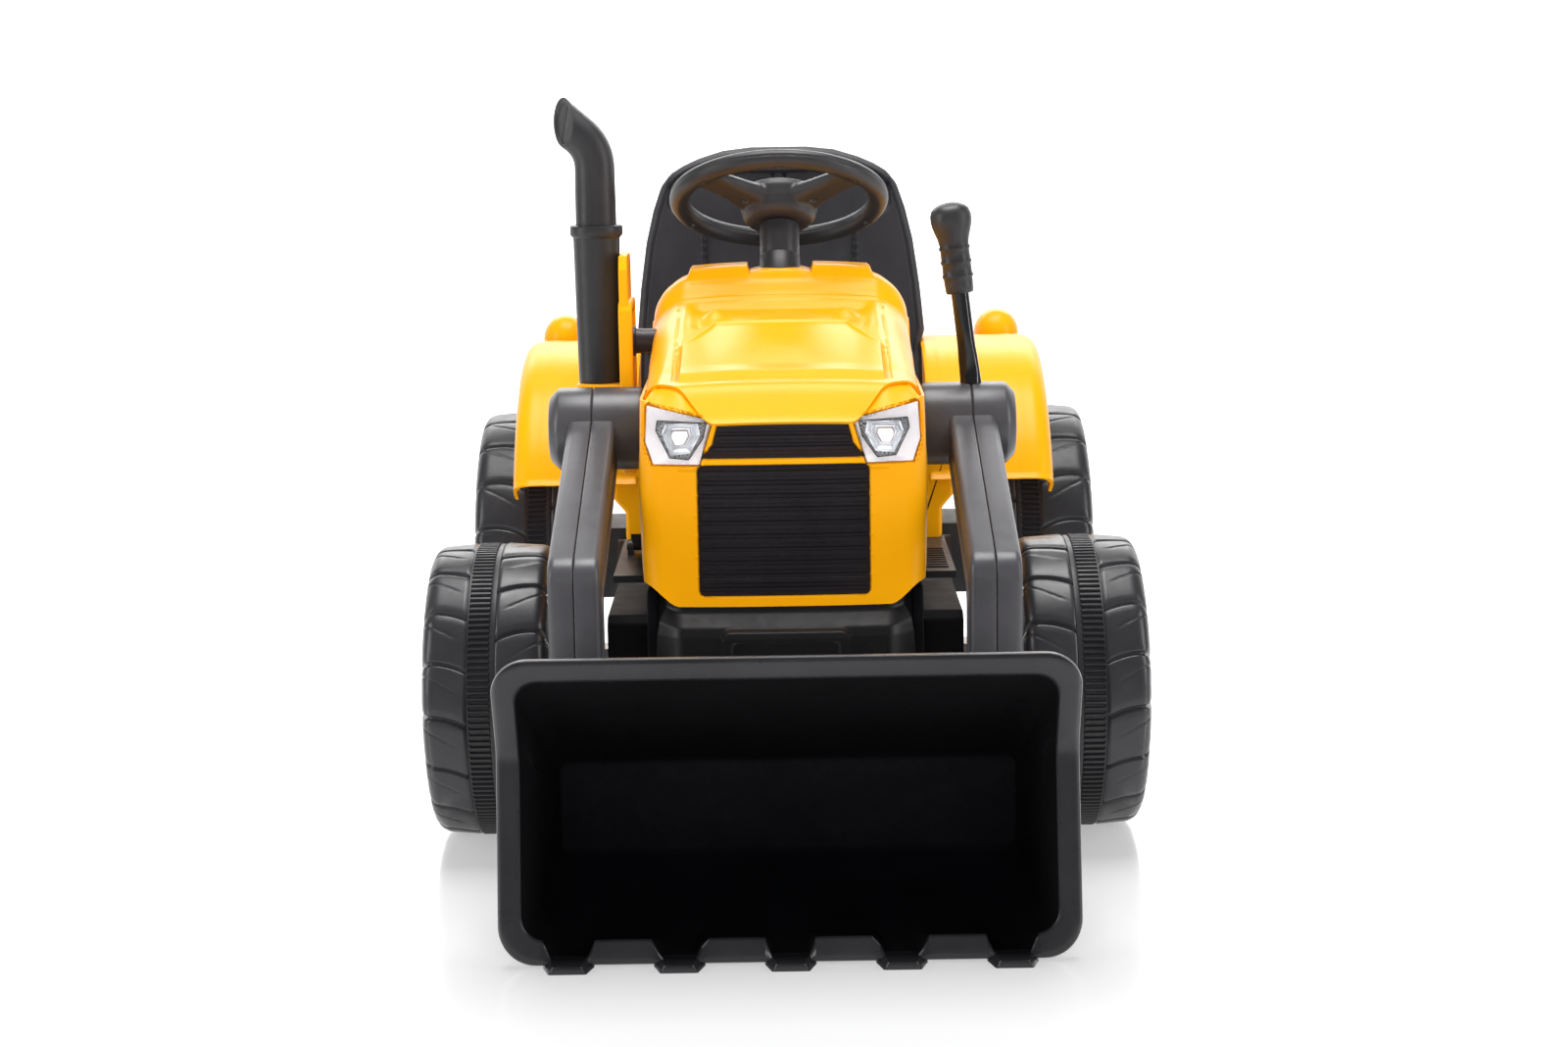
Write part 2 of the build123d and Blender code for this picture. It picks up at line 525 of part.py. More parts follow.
def bucket():
    """Bucket with a flat rim, side walls, teeth and two rear lugs."""
    floor_z = FLOOR_GAP
    lip = -HALF_LENGTH + 14
    outer = [(BUCKET_BACK_Y, 36), (BUCKET_BACK_Y, 124), (BUCKET_TOP_Y, BUCKET_TOP_Z),
             (BUCKET_KINK_Y, BUCKET_KINK_Z), (lip, floor_z), (lip + 60, floor_z)]
    body = bucket_shell(outer, BUCKET_HALF_W)
    w = BUCKET_WALL
    inner = [(BUCKET_BACK_Y - w, 40), (BUCKET_BACK_Y - w, 120), (BUCKET_TOP_Y - 20, BUCKET_TOP_Z + 8),
             (BUCKET_TOP_Y - 40, BUCKET_KINK_Z), (lip - 20, floor_z + w), (lip + 58, floor_z + w)]
    cavity = bucket_shell(inner, BUCKET_BACK_HALF_W - w)
    body -= cavity
    trim = side_face([(BUCKET_BACK_Y + 1, -10), (BUCKET_BACK_Y + 1, 300), (BUCKET_TOP_Y + 14, 300),
                      (BUCKET_KINK_Y + 14, BUCKET_KINK_Z), (lip + 12, -10)])
    for side in (-1, 1):
        body -= slab_x(trim, side * BUCKET_BACK_HALF_W, side * (BUCKET_HALF_W + 10))
        x0, x1 = sorted((side * 139.0, side * 151.0))
        lug = block(x0, x1, BUCKET_BACK_Y, BUCKET_PIN_Y, BUCKET_PIN_Z - 17, BUCKET_PIN_Z + 17)
        lug += rod_x(x0, x1, BUCKET_PIN_Y, BUCKET_PIN_Z, 17)
        body += lug
        body -= rod_x(x0 - 1, x1 + 1, BUCKET_PIN_Y, BUCKET_PIN_Z, BUCKET_PIN_R)
    for index in range(-2, 3):
        x = index * TOOTH_PITCH
        tooth = side_face([(lip + 30, floor_z), (-HALF_LENGTH, floor_z), (-HALF_LENGTH, floor_z + 3),
                           (lip + 30, floor_z + TOOTH_T)])
        body += slab_x(tooth, x - TOOTH_W / 2, x + TOOTH_W / 2)
    return body


def bucket_pins():
    return group([rod_x(side * 136, side * 201, BUCKET_PIN_Y, BUCKET_PIN_Z, BUCKET_PIN_R)
                  for side in (-1, 1)])


# ---- steering wheel ----
def steering_wheel():
    """Full steering wheel in its own frame: rim, three spokes and hub."""
    rim = Torus(RIM_R, RIM_TUBE_R)
    body = rim + Pos(0, 0, -8) * Cylinder(36.5, 30)
    for angle in (90, -40, 220):
        spoke = Pos(RIM_R / 2 + 8, 0, -3) * Box(RIM_R - 32, 30, 12)
        body += Rot(0, 0, angle) * spoke
    body -= Pos(0, 0, 3) * Cylinder(29.6, 12)
    body -= Pos(0, 0, -20) * Cylinder(SHAFT_R, 60)
    return body


def steering_wheel_halves():
    whole = steering_wheel()
    top = whole & Pos(0, 0, 50) * Box(300, 300, 100)
    back = whole & Pos(0, 0, -50) * Box(300, 300, 100)
    parts["steering_wheel_top"] = steer_plane.location * top
    parts["steering_wheel_back"] = steer_plane.location * back


def horn_pad():
    """Horn button in the middle of the wheel; it travels 2 mm into the hub."""
    pad = Pos(0, 0, 4.5) * Cylinder(29, 8)
    return steer_plane.location * pad


def foot_pedal():
    """Accelerator plate hinged at the heel."""
    plate = side_face([(PEDAL_Y + 3, PEDAL_Z - 3), (PEDAL_Y - 74, PEDAL_Z + 20), (PEDAL_Y - 76, PEDAL_Z + 26),
                       (PEDAL_Y + 3, PEDAL_Z + 4)])
    pedal = slab_x(plate, PEDAL_X0, PEDAL_X1)
    return pedal + rod_x(-158, -121, PEDAL_Y, PEDAL_Z, PEDAL_PIN_R)


def body_screws():
    heads = []
    for side in (-1, 1):
        for z in (236.0, 330.0, 460.0):
            heads.append(Pos(side * 108, HOOD_BACK + 5, z) * Rot(90, 0, 0) * Cylinder(4, 2))
        heads.append(Pos(side * 100, HALF_LENGTH - 10, TUB_Z1 - 1.5) * Cylinder(4.5, 3))
    return group(heads)


def rear_axle_nuts():
    nuts = []
    for side in (-1, 1):
        x0, x1 = sorted((side * (REAR_OUT - HUB_RECESS_DEPTH + 0.6), side * (REAR_OUT - 12)))
        nuts.append(ring_x(x0, x1, REAR_AXLE_Y, REAR_R, REAR_ROD_R, 9))
    return group(nuts)


def build_all():
    parts["chassis_tub"] = chassis_tub()
    parts["front_bumper"] = front_bumper()
    parts["hood"] = hood()
    parts["upper_grille"] = upper_grille()
    parts["lower_grille"] = lower_grille()
    leds = []
    for side, name in ((1, "left"), (-1, "right")):
        lens, reflector, led = headlight(side)
        parts["headlight_lens_" + name] = lens
        parts["headlight_reflector_" + name] = reflector
        leds.append(led)
    parts["headlight_leds"] = group(leds)
    parts["dash_panel"] = dash_panel()
    parts["direction_rocker"] = direction_rocker()
    parts["charge_socket"] = charge_socket()
    parts["rear_body"] = rear_body()
    add_pair("rear_fender", rear_fender())
    parts["seat"] = seat()
    parts["exhaust_lower"] = exhaust_lower()
    parts["exhaust_upper"] = exhaust_upper()
    parts["exhaust_panel"] = exhaust_panel()
    parts["steering_column"] = steering_column()
    parts["steering_shaft"] = steering_shaft()
    steering_wheel_halves()
    parts["horn_pad"] = horn_pad()
    parts["front_axle_beam"] = front_axle_beam()
    add_pair("knuckle", knuckle())
    parts["tie_rod"] = tie_rod()
    add_pair("front_wheel", wheel(FRONT_IN, FRONT_OUT, FRONT_R, FRONT_BAND_X, FRONT_AXLE_Y, STUB_R))
    add_pair("rear_wheel", wheel(REAR_IN, REAR_OUT, REAR_R, REAR_BAND_X, REAR_AXLE_Y, REAR_ROD_R))
    add_pair("front_tread_band", tread_band(FRONT_R, FRONT_BAND_X, FRONT_AXLE_Y))
    add_pair("rear_tread_band", tread_band(REAR_R, REAR_BAND_X, REAR_AXLE_Y))
    add_pair("front_hubcap", hubcap(FRONT_OUT, FRONT_R, FRONT_AXLE_Y))
    add_pair("rear_hubcap", hubcap(REAR_OUT, REAR_R, REAR_AXLE_Y))
    parts["rear_axle"] = rod_x(-REAR_OUT + 9, REAR_OUT - 9, REAR_AXLE_Y, REAR_R, REAR_ROD_R)
    parts["rear_axle_nuts"] = rear_axle_nuts()
    add_pair("gearbox", gearbox())
    parts["drive_motors"] = drive_motors()
    parts["battery"] = block(-76, 76, 214, 312, TUB_Z0 + WALL, 250)
    parts["wiring_harness"] = wiring_harness()
    parts["foot_pedal"] = foot_pedal()
    arms()
    parts["cross_tube"] = rod_x(-ARM_SEAM + 4, ARM_SEAM - 4, PIVOT_Y, PIVOT_Z, CROSS_R)
    parts["lift_lever"] = lever_tool(372, GRIP_Z1 - 12, LEVER_R)
    parts["lever_grip"] = lever_grip()
    parts["arm_screws"] = arm_screws()
    parts["bucket"] = bucket()
    parts["bucket_pins"] = bucket_pins()
    parts["body_screws"] = body_screws()


build_all()
os.makedirs("parts", exist_ok=True)
for name, shape in parts.items():
    export_step(shape, f"parts/{name}.step")
print(len(parts), "parts")
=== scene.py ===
import json
import math
import bmesh
import bpy
import numpy as np
from mathutils import Matrix, Vector


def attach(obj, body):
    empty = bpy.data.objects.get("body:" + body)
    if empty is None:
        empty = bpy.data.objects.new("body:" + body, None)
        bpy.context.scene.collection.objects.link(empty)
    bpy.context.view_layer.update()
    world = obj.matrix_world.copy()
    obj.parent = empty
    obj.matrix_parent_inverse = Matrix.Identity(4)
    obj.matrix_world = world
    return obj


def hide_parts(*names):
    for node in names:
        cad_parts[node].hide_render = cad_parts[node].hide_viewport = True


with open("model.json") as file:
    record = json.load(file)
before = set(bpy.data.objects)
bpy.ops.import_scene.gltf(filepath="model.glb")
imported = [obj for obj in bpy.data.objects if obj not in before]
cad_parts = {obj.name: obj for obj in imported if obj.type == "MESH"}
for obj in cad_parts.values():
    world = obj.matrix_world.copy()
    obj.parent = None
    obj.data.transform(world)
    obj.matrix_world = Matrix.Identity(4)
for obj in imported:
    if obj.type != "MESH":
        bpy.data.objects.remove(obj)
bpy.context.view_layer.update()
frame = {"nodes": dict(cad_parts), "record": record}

RECORD = frame["record"]
SLOT_OF = {part["node"]: part["material_slot"] for part in RECORD["subparts"]}
BODY_OF = {node: body for body, nodes in RECORD["behaviour"]["bodies"].items() for node in nodes}
MM = 0.001
TAU = 2 * math.pi
SIDES = ((1, "left"), (-1, "right"))

# ---- driving dimensions, in millimetres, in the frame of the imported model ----
FRONT_AXLE_Y, FRONT_R = -160.0, 132.5
REAR_AXLE_Y, REAR_R = 380.0, 157.5
FRONT_IN, FRONT_OUT, FRONT_BAND_X = 208.0, 319.0, 265.0
REAR_IN, REAR_OUT, REAR_BAND_X = 210.0, 328.5, 258.0
BAND_W = 26.0
HOOD_HALF_W, HOOD_FRONT, HOOD_BACK, HOOD_BOTTOM = 124.0, -250.0, 80.0, 222.0
PIVOT_Y, PIVOT_Z = -60.0, 356.0
STEER_TILT = math.radians(26.0)
STEER_CENTRE = (0.0, 100.0, 558.0)
FENDER_R = 235.0
TOOTH_PITCH = 86.5
BUCKET_PIVOT_Y, BUCKET_PIVOT_Z = -337.5, 88.0
HUB_R = 53.2
TYRE_STEPS, HUB_STEPS, HUB_RINGS = 900, 240, 60


# ---- small maths ----
def smooth(a, b, x):
    """Smoothstep from 0 at a to 1 at b."""
    t = np.clip((np.asarray(x, float) - a) / (b - a), 0.0, 1.0)
    return t * t * (3 - 2 * t)


def fall(a, b, x):
    """Smoothstep from 1 at a down to 0 at b."""
    return 1 - smooth(a, b, x)


def bell(x, width):
    """Gaussian bump round 0."""
    return np.exp(-(x / width) ** 2)


def off_whole(x):
    """Distance to the nearest whole number."""
    return np.abs(x - np.round(x))


def polygon_distance(px, pz, corners, rounding=0.0):
    """Signed distance to a polygon, negative inside; rounding softens its corners."""
    corners = np.asarray(corners, float)
    best = np.full(np.shape(px), 1e9)
    sign = np.ones(np.shape(px))
    count = len(corners)
    for i in range(count):
        a, b = corners[i], corners[i - 1]
        edge = b - a
        wx, wz = px - a[0], pz - a[1]
        t = np.clip((wx * edge[0] + wz * edge[1]) / (edge @ edge), 0, 1)
        best = np.minimum(best, np.hypot(wx - edge[0] * t, wz - edge[1] * t))
        above_a, above_b = pz >= a[1], pz >= b[1]
        cross = edge[0] * wz - edge[1] * wx
        flip = (above_a & ~above_b & (cross < 0)) | (~above_a & above_b & (cross > 0))
        sign = np.where(flip, -sign, sign)
    return sign * best - rounding


def round_path(corners, radii, arc_steps=10, closed=True):
    """Polyline with its corners turned into arcs; works in any dimension."""
    corners = [np.asarray(c, float) for c in corners]
    count = len(corners)
    out = []
    for i, corner in enumerate(corners):
        if not closed and i in (0, count - 1):
            out.append(corner)
            continue
        before, after = corners[i - 1] - corner, corners[(i + 1) % count] - corner
        len_b, len_a = np.linalg.norm(before), np.linalg.norm(after)
        u, v = before / len_b, after / len_a
        radius = radii[i] if hasattr(radii, "__len__") else radii
        half = math.acos(max(-1.0, min(1.0, float(u @ v)))) / 2
        if radius <= 0 or half > 1.56:
            out.append(corner)
            continue
        cut = min(radius / math.tan(half), 0.49 * len_b, 0.49 * len_a)
        start, end = corner + u * cut, corner + v * cut
        for step in range(arc_steps + 1):
            t = step / arc_steps
            out.append((1 - t) ** 2 * start + 2 * t * (1 - t) * corner + t * t * end)
    return np.array(out)


def resample(path, count, closed=False):
    """Evenly spaced points along a polyline."""
    pts = np.vstack([path, path[:1]]) if closed else np.asarray(path, float)
    lengths = np.concatenate([[0], np.cumsum(np.linalg.norm(np.diff(pts, axis=0), axis=1))])
    stops = np.linspace(0, lengths[-1], count + 1 if closed else count)
    if closed:
        stops = stops[:-1]
    return np.stack([np.interp(stops, lengths, pts[:, k]) for k in range(pts.shape[1])], axis=1)


# ---- mesh tools ----
def link_mesh(name, mesh, material):
    piece = bpy.data.objects.new(name, mesh)
    bpy.context.scene.collection.objects.link(piece)
    mesh.materials.clear()
    mesh.materials.append(material)
    return piece


def new_object(name, points, faces, material):
    """Mesh object in metres from millimetre points."""
    mesh = bpy.data.meshes.new(name)
    mesh.from_pydata((np.asarray(points, float).reshape(-1, 3) * MM).tolist(), [], faces)
    return link_mesh(name, mesh, material)


def clean_normals(piece):
    work = bmesh.new()
    work.from_mesh(piece.data)
    bmesh.ops.remove_doubles(work, verts=work.verts, dist=1e-6)
    bmesh.ops.recalc_face_normals(work, faces=work.faces)
    work.to_mesh(piece.data)
    work.free()


def finish_piece(piece, node, flat_angle=32):
    """Shade a piece; it rides with the CAD nodes it replaces, which are hidden."""
    clean_normals(piece)
    mesh = piece.data
    mesh.polygons.foreach_set("use_smooth", [True] * len(mesh.polygons))
    if flat_angle < 180:
        mesh.set_sharp_from_angle(angle=math.radians(flat_angle))
    nodes = (node,) if isinstance(node, str) else node
    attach(piece, BODY_OF[nodes[0]])
    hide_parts(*nodes)


def grid_faces(rows, cols, wrap_rows=False, wrap_cols=False, offset=0):
    """Quads of a rows x cols grid of vertices."""
    r = np.arange(rows if wrap_rows else rows - 1)
    c = np.arange(cols if wrap_cols else cols - 1)
    rr, cc = np.meshgrid(r, c, indexing="ij")
    r2, c2 = (rr + 1) % rows, (cc + 1) % cols
    quads = np.stack([rr * cols + cc, rr * cols + c2, r2 * cols + c2, r2 * cols + cc], axis=-1)
    return (quads.reshape(-1, 4) + offset).tolist()


class Builder:
    """Collects several grids and caps into one mesh."""

    def __init__(self):
        self.verts, self.faces, self.total = [], [], 0

    def grid(self, points, wrap_rows=False, wrap_cols=False):
        rows, cols = points.shape[:2]
        self.faces += grid_faces(rows, cols, wrap_rows, wrap_cols, self.total)
        self.verts.append(points.reshape(-1, 3))
        self.total += rows * cols

    def cap(self, loop, reverse=False):
        """Close a loop of points with one polygon."""
        loop = np.asarray(loop)
        order = list(range(self.total, self.total + len(loop)))
        self.faces.append(order[::-1] if reverse else order)
        self.verts.append(loop)
        self.total += len(loop)

    def loft(self, rings):
        """Closed body through rings of points, capped at both ends."""
        rings = np.asarray(rings)
        self.grid(rings, wrap_cols=True)
        self.cap(rings[0])
        self.cap(rings[-1], True)

    def build(self, name, material):
        piece = new_object(name, np.vstack(self.verts), self.faces, material)
        piece.data.validate()
        return piece

    def make(self, name, material, node, flat_angle=32):
        finish_piece(self.build(name, material), node, flat_angle)


def inset_outline(outline, amount):
    """Outline moved inwards, with its corners mitred."""
    outline = np.asarray(outline, float)
    ahead = np.roll(outline, -1, 0) - outline
    ahead /= np.linalg.norm(ahead, axis=1)[:, None] + 1e-9
    behind = np.roll(ahead, 1, 0)
    normal_a = np.stack([-ahead[:, 1], ahead[:, 0]], axis=1)
    normal_b = np.stack([-behind[:, 1], behind[:, 0]], axis=1)
    middle = normal_a + normal_b
    middle /= np.linalg.norm(middle, axis=1)[:, None] + 1e-9
    reach = 1 / np.clip(np.sum(middle * normal_a, axis=1), 0.4, 1)
    following = np.roll(outline, -1, 0)
    area = np.sum(outline[:, 0] * following[:, 1] - following[:, 0] * outline[:, 1])
    return outline + middle * (reach * amount * np.sign(area))[:, None]


def on_axes(flat, height, axes):
    """World points from flat coordinates; axes says where their two and the height go."""
    ring = np.zeros((len(flat), 3))
    ring[:, axes[0]] = flat[:, 0]
    ring[:, axes[1]] = flat[:, 1]
    ring[:, axes[2]] = height
    return ring


def prism(builder, outline, x0, x1, bevel0, bevel1=None, axes=(1, 2, 0), steps=4, panel=None):
    """Closed plate from an outline, with rounded edges and an optional sunk panel on its far side."""
    bevel1 = bevel0 if bevel1 is None else bevel1
    way = 1 if x1 > x0 else -1
    turns = [math.pi / 2 * k / steps for k in range(steps + 1)]
    flat_rim = 0.7
    levels = [(x0, bevel0 + flat_rim)]
    levels += [(x0 + way * bevel0 * (1 - math.cos(t)), bevel0 * (1 - math.sin(t))) for t in turns]
    levels += [(x1 - way * bevel1 * (1 - math.cos(t)), bevel1 * (1 - math.sin(t))) for t in turns[::-1]]
    levels += [(x1, bevel1 + flat_rim)]
    if panel:
        border, depth = panel
        levels += [(x1, border - 0.6), (x1 - way * 0.3, border), (x1 - way * depth, border + 0.8),
                   (x1 - way * depth, border + 1.6)]
    builder.loft([on_axes(inset_outline(outline, inset), place, axes) for place, inset in levels])


def turns_of(count):
    """Evenly spaced angles round a full turn."""
    return np.arange(count) * TAU / count


def revolve(builder, profile, count, place):
    """Spin an (axial, radius) profile; place maps (axial, a, b) to world points."""
    angles = turns_of(count)
    profile = np.asarray(profile, float)
    axial = np.broadcast_to(profile[:, 0], (count, len(profile)))
    a = np.cos(angles)[:, None] * profile[:, 1][None, :]
    b = np.sin(angles)[:, None] * profile[:, 1][None, :]
    builder.grid(place(axial, a, b), wrap_rows=True)


def about_x(y, z):
    return lambda t, a, b: np.stack([t, y + a, z + b], axis=-1)


def about_z(x, y):
    return lambda t, a, b: np.stack([x + a, y + b, t], axis=-1)


def in_steering_frame(t, a, b):
    """Wheel-frame coordinates (along the column, sideways, towards the driver)."""
    c, s = math.cos(STEER_TILT), math.sin(STEER_TILT)
    x = STEER_CENTRE[0] + a
    y = STEER_CENTRE[1] + b * c + t * s
    z = STEER_CENTRE[2] - b * s + t * c
    return np.stack([x, y, z], axis=-1)


# ---- materials ----
class Nodes:
    """Short form for building a node tree."""

    def __init__(self, name):
        self.material = bpy.data.materials.new(name)
        self.material.use_nodes = True
        self.tree = self.material.node_tree
        self.shader = self.tree.nodes["Principled BSDF"]
        self.coords = self.add("ShaderNodeTexCoord").outputs["Object"]

    def add(self, kind, inputs=None, **settings):
        node = self.tree.nodes.new(kind)
        for key, value in settings.items():
            setattr(node, key, value)
        for key, value in (inputs or {}).items():
            if isinstance(value, bpy.types.NodeSocket):
                self.tree.links.new(value, node.inputs[key])
            else:
                node.inputs[key].default_value = value
        return node

    def noise(self, scale, detail=3.0, roughness=0.5, vector=None):
        source = self.coords if vector is None else vector
        node = self.add("ShaderNodeTexNoise", {"Vector": source, "Scale": scale, "Detail": detail,
                                               "Roughness": roughness})
        return node.outputs["Fac"]

    def ramp(self, value, low, high, to_low, to_high):
        node = self.add("ShaderNodeMapRange", {"Value": value, "From Min": low, "From Max": high,
                                               "To Min": to_low, "To Max": to_high})
        return node.outputs["Result"]

    def mix(self, factor, a, b):
        """Colour mix; 0, 6 and 7 are the node's factor and colour sockets, 2 its colour result."""
        return self.add("ShaderNodeMix", {0: factor, 6: a, 7: b}, data_type="RGBA").outputs[2]

    def bump(self, height, distance, strength=1.0, normal=None):
        inputs = {"Height": height, "Distance": distance, "Strength": strength}
        if normal is not None:
            inputs["Normal"] = normal
        return self.add("ShaderNodeBump", inputs).outputs["Normal"]

    def connect(self, **sockets):
        names = {"color": "Base Color", "rough": "Roughness", "normal": "Normal"}
        for key, socket in sockets.items():
            self.tree.links.new(socket, self.shader.inputs[names[key]])

    def set(self, **values):
        names = {"metallic": "Metallic", "coat": "Coat Weight", "coat_rough": "Coat Roughness",
                 "ior": "IOR", "specular": "Specular IOR Level", "transmission": "Transmission Weight",
                 "emission": "Emission Strength", "emission_color": "Emission Color"}
        for key, value in values.items():
            self.shader.inputs[names[key]].default_value = value


def rgb(r, g, b):
    return (r, g, b, 1.0)


def gloss_yellow():
    """Glossy moulded plastic: slight flow variation, orange peel and hairline marks."""
    n = Nodes("yellow_gloss")
    flow = n.noise(9.0, 4.0, 0.6)
    fine = n.noise(220.0, 2.0)
    color = n.mix(n.ramp(flow, 0.3, 0.7, 0, 1), rgb(0.90, 0.372, 0.002), rgb(0.93, 0.402, 0.003))
    n.connect(color=color)
    n.connect(rough=n.ramp(n.noise(40.0, 5.0, 0.7), 0.3, 0.75, 0.27, 0.38))
    peel = n.bump(n.noise(90.0, 2.0), 0.0006, 0.18)
    n.connect(normal=n.bump(fine, 0.00012, 0.2, peel))
    n.set(coat=0.03, coat_rough=0.15, ior=1.45, specular=0.2)
    return n.material


def moulded_black(name, base, lift, rough_low, rough_high, grain, depth, specular=0.5):
    """Black moulded plastic with a spark-eroded grain and soft wear."""
    n = Nodes(name)
    cloud = n.noise(14.0, 5.0, 0.62)
    marks = n.noise(60.0, 6.0, 0.7)
    color = n.mix(n.ramp(cloud, 0.32, 0.7, 0, 1), rgb(*base), rgb(*lift))
    n.connect(color=color)
    n.connect(rough=n.ramp(marks, 0.3, 0.72, rough_low, rough_high))
    coarse = n.bump(n.noise(grain, 3.0, 0.6), depth, 0.5)
    n.connect(normal=n.bump(n.noise(grain * 2.7, 2.0), depth * 0.4, 0.4, coarse))
    n.set(ior=1.5, specular=specular)
    return n.material


def metal(name, color, rough_low, rough_high, stretch, metallic=1.0):
    """Metal with fine directional brushing and slight staining."""
    n = Nodes(name)
    mapping = n.add("ShaderNodeMapping", {"Vector": n.coords, "Scale": stretch}).outputs["Vector"]
    brushed = n.noise(1.0, 3.0, 0.6, mapping)
    stain = n.noise(35.0, 4.0, 0.6)
    dark = tuple(c * 0.72 for c in color)
    n.connect(color=n.mix(n.ramp(stain, 0.35, 0.7, 0, 1), rgb(*color), rgb(*dark)))
    n.connect(rough=n.ramp(brushed, 0.3, 0.7, rough_low, rough_high))
    n.connect(normal=n.bump(brushed, 0.0001, 0.25))
    n.set(metallic=metallic)
    return n.material


def lens_plastic():
    """Clear cover with faint waviness."""
    n = Nodes("lens_clear")
    n.connect(rough=n.ramp(n.noise(50.0, 3.0), 0.3, 0.7, 0.0, 0.03))
    n.connect(normal=n.bump(n.noise(30.0, 2.0), 0.0002, 0.1))
    n.connect(color=n.mix(n.noise(12.0, 2.0), rgb(0.96, 0.97, 0.98), rgb(0.99, 0.99, 1.0)))
    n.set(transmission=1.0, ior=1.35)
    return n.material


def lamp_white():
    """Pale diffusing plastic of the lamp's border."""
    n = Nodes("lamp_white")
    n.connect(color=n.mix(n.noise(60.0, 2.0), rgb(0.86, 0.80, 0.80), rgb(0.92, 0.88, 0.88)))
    n.connect(rough=n.ramp(n.noise(40.0, 3.0), 0.3, 0.7, 0.18, 0.3))
    n.set(emission=0.16, emission_color=rgb(1.0, 0.92, 0.92))
    return n.material


def lamp_hatch_glints():
    """Fine moulded prisms: a chequer of painted glints and painted shade, over the prisms' bump relief."""
    n = Nodes("lamp_hatch_glints")
    # Bright cells are painted glints of the prisms, dark cells painted shade.
    cells = n.add("ShaderNodeTexChecker", {"Vector": n.coords, "Scale": 560.0,
                                           "Color1": rgb(0.03, 0.03, 0.035),
                                           "Color2": rgb(0.90, 0.90, 0.92)})
    n.connect(color=n.mix(n.noise(50.0, 2.0), cells.outputs["Color"], rgb(0.05, 0.05, 0.055)))
    n.connect(rough=n.ramp(cells.outputs["Fac"], 0, 1, 0.2, 0.35))
    n.connect(normal=n.bump(cells.outputs["Fac"], 0.0003, 0.4))
    n.set(metallic=0.5)
    return n.material


def led_white():
    """Glowing core with a cell pattern."""
    n = Nodes("led_core")
    cells = n.add("ShaderNodeTexVoronoi", {"Vector": n.coords, "Scale": 420.0}).outputs["Distance"]
    n.connect(color=n.mix(n.ramp(cells, 0.1, 0.6, 0, 1), rgb(0.86, 0.94, 1.0), rgb(0.98, 1.0, 1.0)))
    n.connect(rough=n.ramp(cells, 0, 0.6, 0.15, 0.3))
    n.set(emission=1.4, emission_color=rgb(0.85, 0.95, 1.0))
    return n.material


# name: base colour, lighter colour, roughness range, grain, depth of grain, specular level
BLACKS = {
    "black_moulded": ((0.016, 0.0155, 0.017), (0.025, 0.0245, 0.027), 0.36, 0.50, 900.0, 0.00012),
    # Darker than the other blacks: painted shade from the bucket held over the bumper.
    "bumper_painted_shade": ((0.0045, 0.0045, 0.0055), (0.008, 0.008, 0.009), 0.38, 0.52, 900.0, 0.00012),
    # Lighter than the other blacks: painted highlight standing in for light caught on the arms.
    "arm_black": ((0.050, 0.048, 0.053), (0.068, 0.065, 0.072), 0.28, 0.40, 800.0, 0.00012),
    # Near-black copy of the bucket's black: painted shade for the bucket's hollow and the bumper's end wings.
    "cavity_painted_shade": ((0.0010, 0.0011, 0.0017), (0.0020, 0.0021, 0.0029), 0.62, 0.75, 700.0, 0.00015, 0.2),
    "bucket_black": ((0.010, 0.0097, 0.0115), (0.016, 0.0155, 0.018), 0.26, 0.36, 700.0, 0.00004),
    "seat_black": ((0.022, 0.021, 0.025), (0.033, 0.032, 0.037), 0.42, 0.55, 700.0, 0.00018),
    "grille_black": ((0.0085, 0.0065, 0.0085), (0.014, 0.011, 0.0135), 0.45, 0.6, 900.0, 0.0001),
    "tyre_black": ((0.017, 0.0165, 0.019), (0.029, 0.028, 0.031), 0.26, 0.40, 500.0, 0.00012),
    "band_black": ((0.011, 0.0105, 0.012), (0.018, 0.0175, 0.020), 0.34, 0.5, 800.0, 0.00012),
    "tube_gloss_black": ((0.006, 0.006, 0.007), (0.010, 0.010, 0.011), 0.10, 0.20, 300.0, 0.00004),
    "drive_grey": ((0.06, 0.06, 0.065), (0.09, 0.09, 0.095), 0.4, 0.55, 700.0, 0.0001),
    "battery_case": ((0.03, 0.035, 0.05), (0.045, 0.05, 0.065), 0.35, 0.5, 700.0, 0.0001),
    "cable_jacket": ((0.016, 0.016, 0.017), (0.026, 0.026, 0.028), 0.4, 0.55, 900.0, 0.0001),
}
YELLOW = gloss_yellow()
(BLACK, BUMPER_SHADE_BLACK, ARM_HIGHLIGHT_BLACK, CAVITY_SHADE_BLACK, BUCKET_BLACK, SEAT_BLACK, GRILLE_BLACK, TYRE_BLACK, BAND_BLACK,
 GLOSS_BLACK, DRIVE_GREY, BATTERY, CABLE) = [moulded_black(name, *look) for name, look in BLACKS.items()]
STEEL = metal("zinc_steel", (0.55, 0.55, 0.56), 0.25, 0.42, (30, 900, 900))
CHROME = metal("lamp_chrome", (0.92, 0.93, 0.95), 0.12, 0.24, (60, 60, 60), 0.6)
LENS = lens_plastic()
LAMP_WHITE = lamp_white()
LAMP_HATCH_GLINTS = lamp_hatch_glints()
LED = led_white()

CAD_LOOKS = {
    "yellow_plastic": YELLOW, "black_plastic": BLACK, "seat_plastic": SEAT_BLACK,
    "grille_plastic": GRILLE_BLACK, "tyre_plastic": TYRE_BLACK, "band_rubber": BAND_BLACK,
    "clear_lens": LENS, "lamp_chrome": CHROME, "led_core": LED, "steel": STEEL,
    "black_steel": GLOSS_BLACK, "drive_plastic": DRIVE_GREY, "battery_case": BATTERY, "cable": CABLE,
}


def dress_cad_nodes():
    """Give each carried-over CAD node the procedural material of its slot."""
    for node, slot in SLOT_OF.items():
        mesh = frame["nodes"][node].data
        mesh.materials.clear()
        mesh.materials.append(CAD_LOOKS[slot])


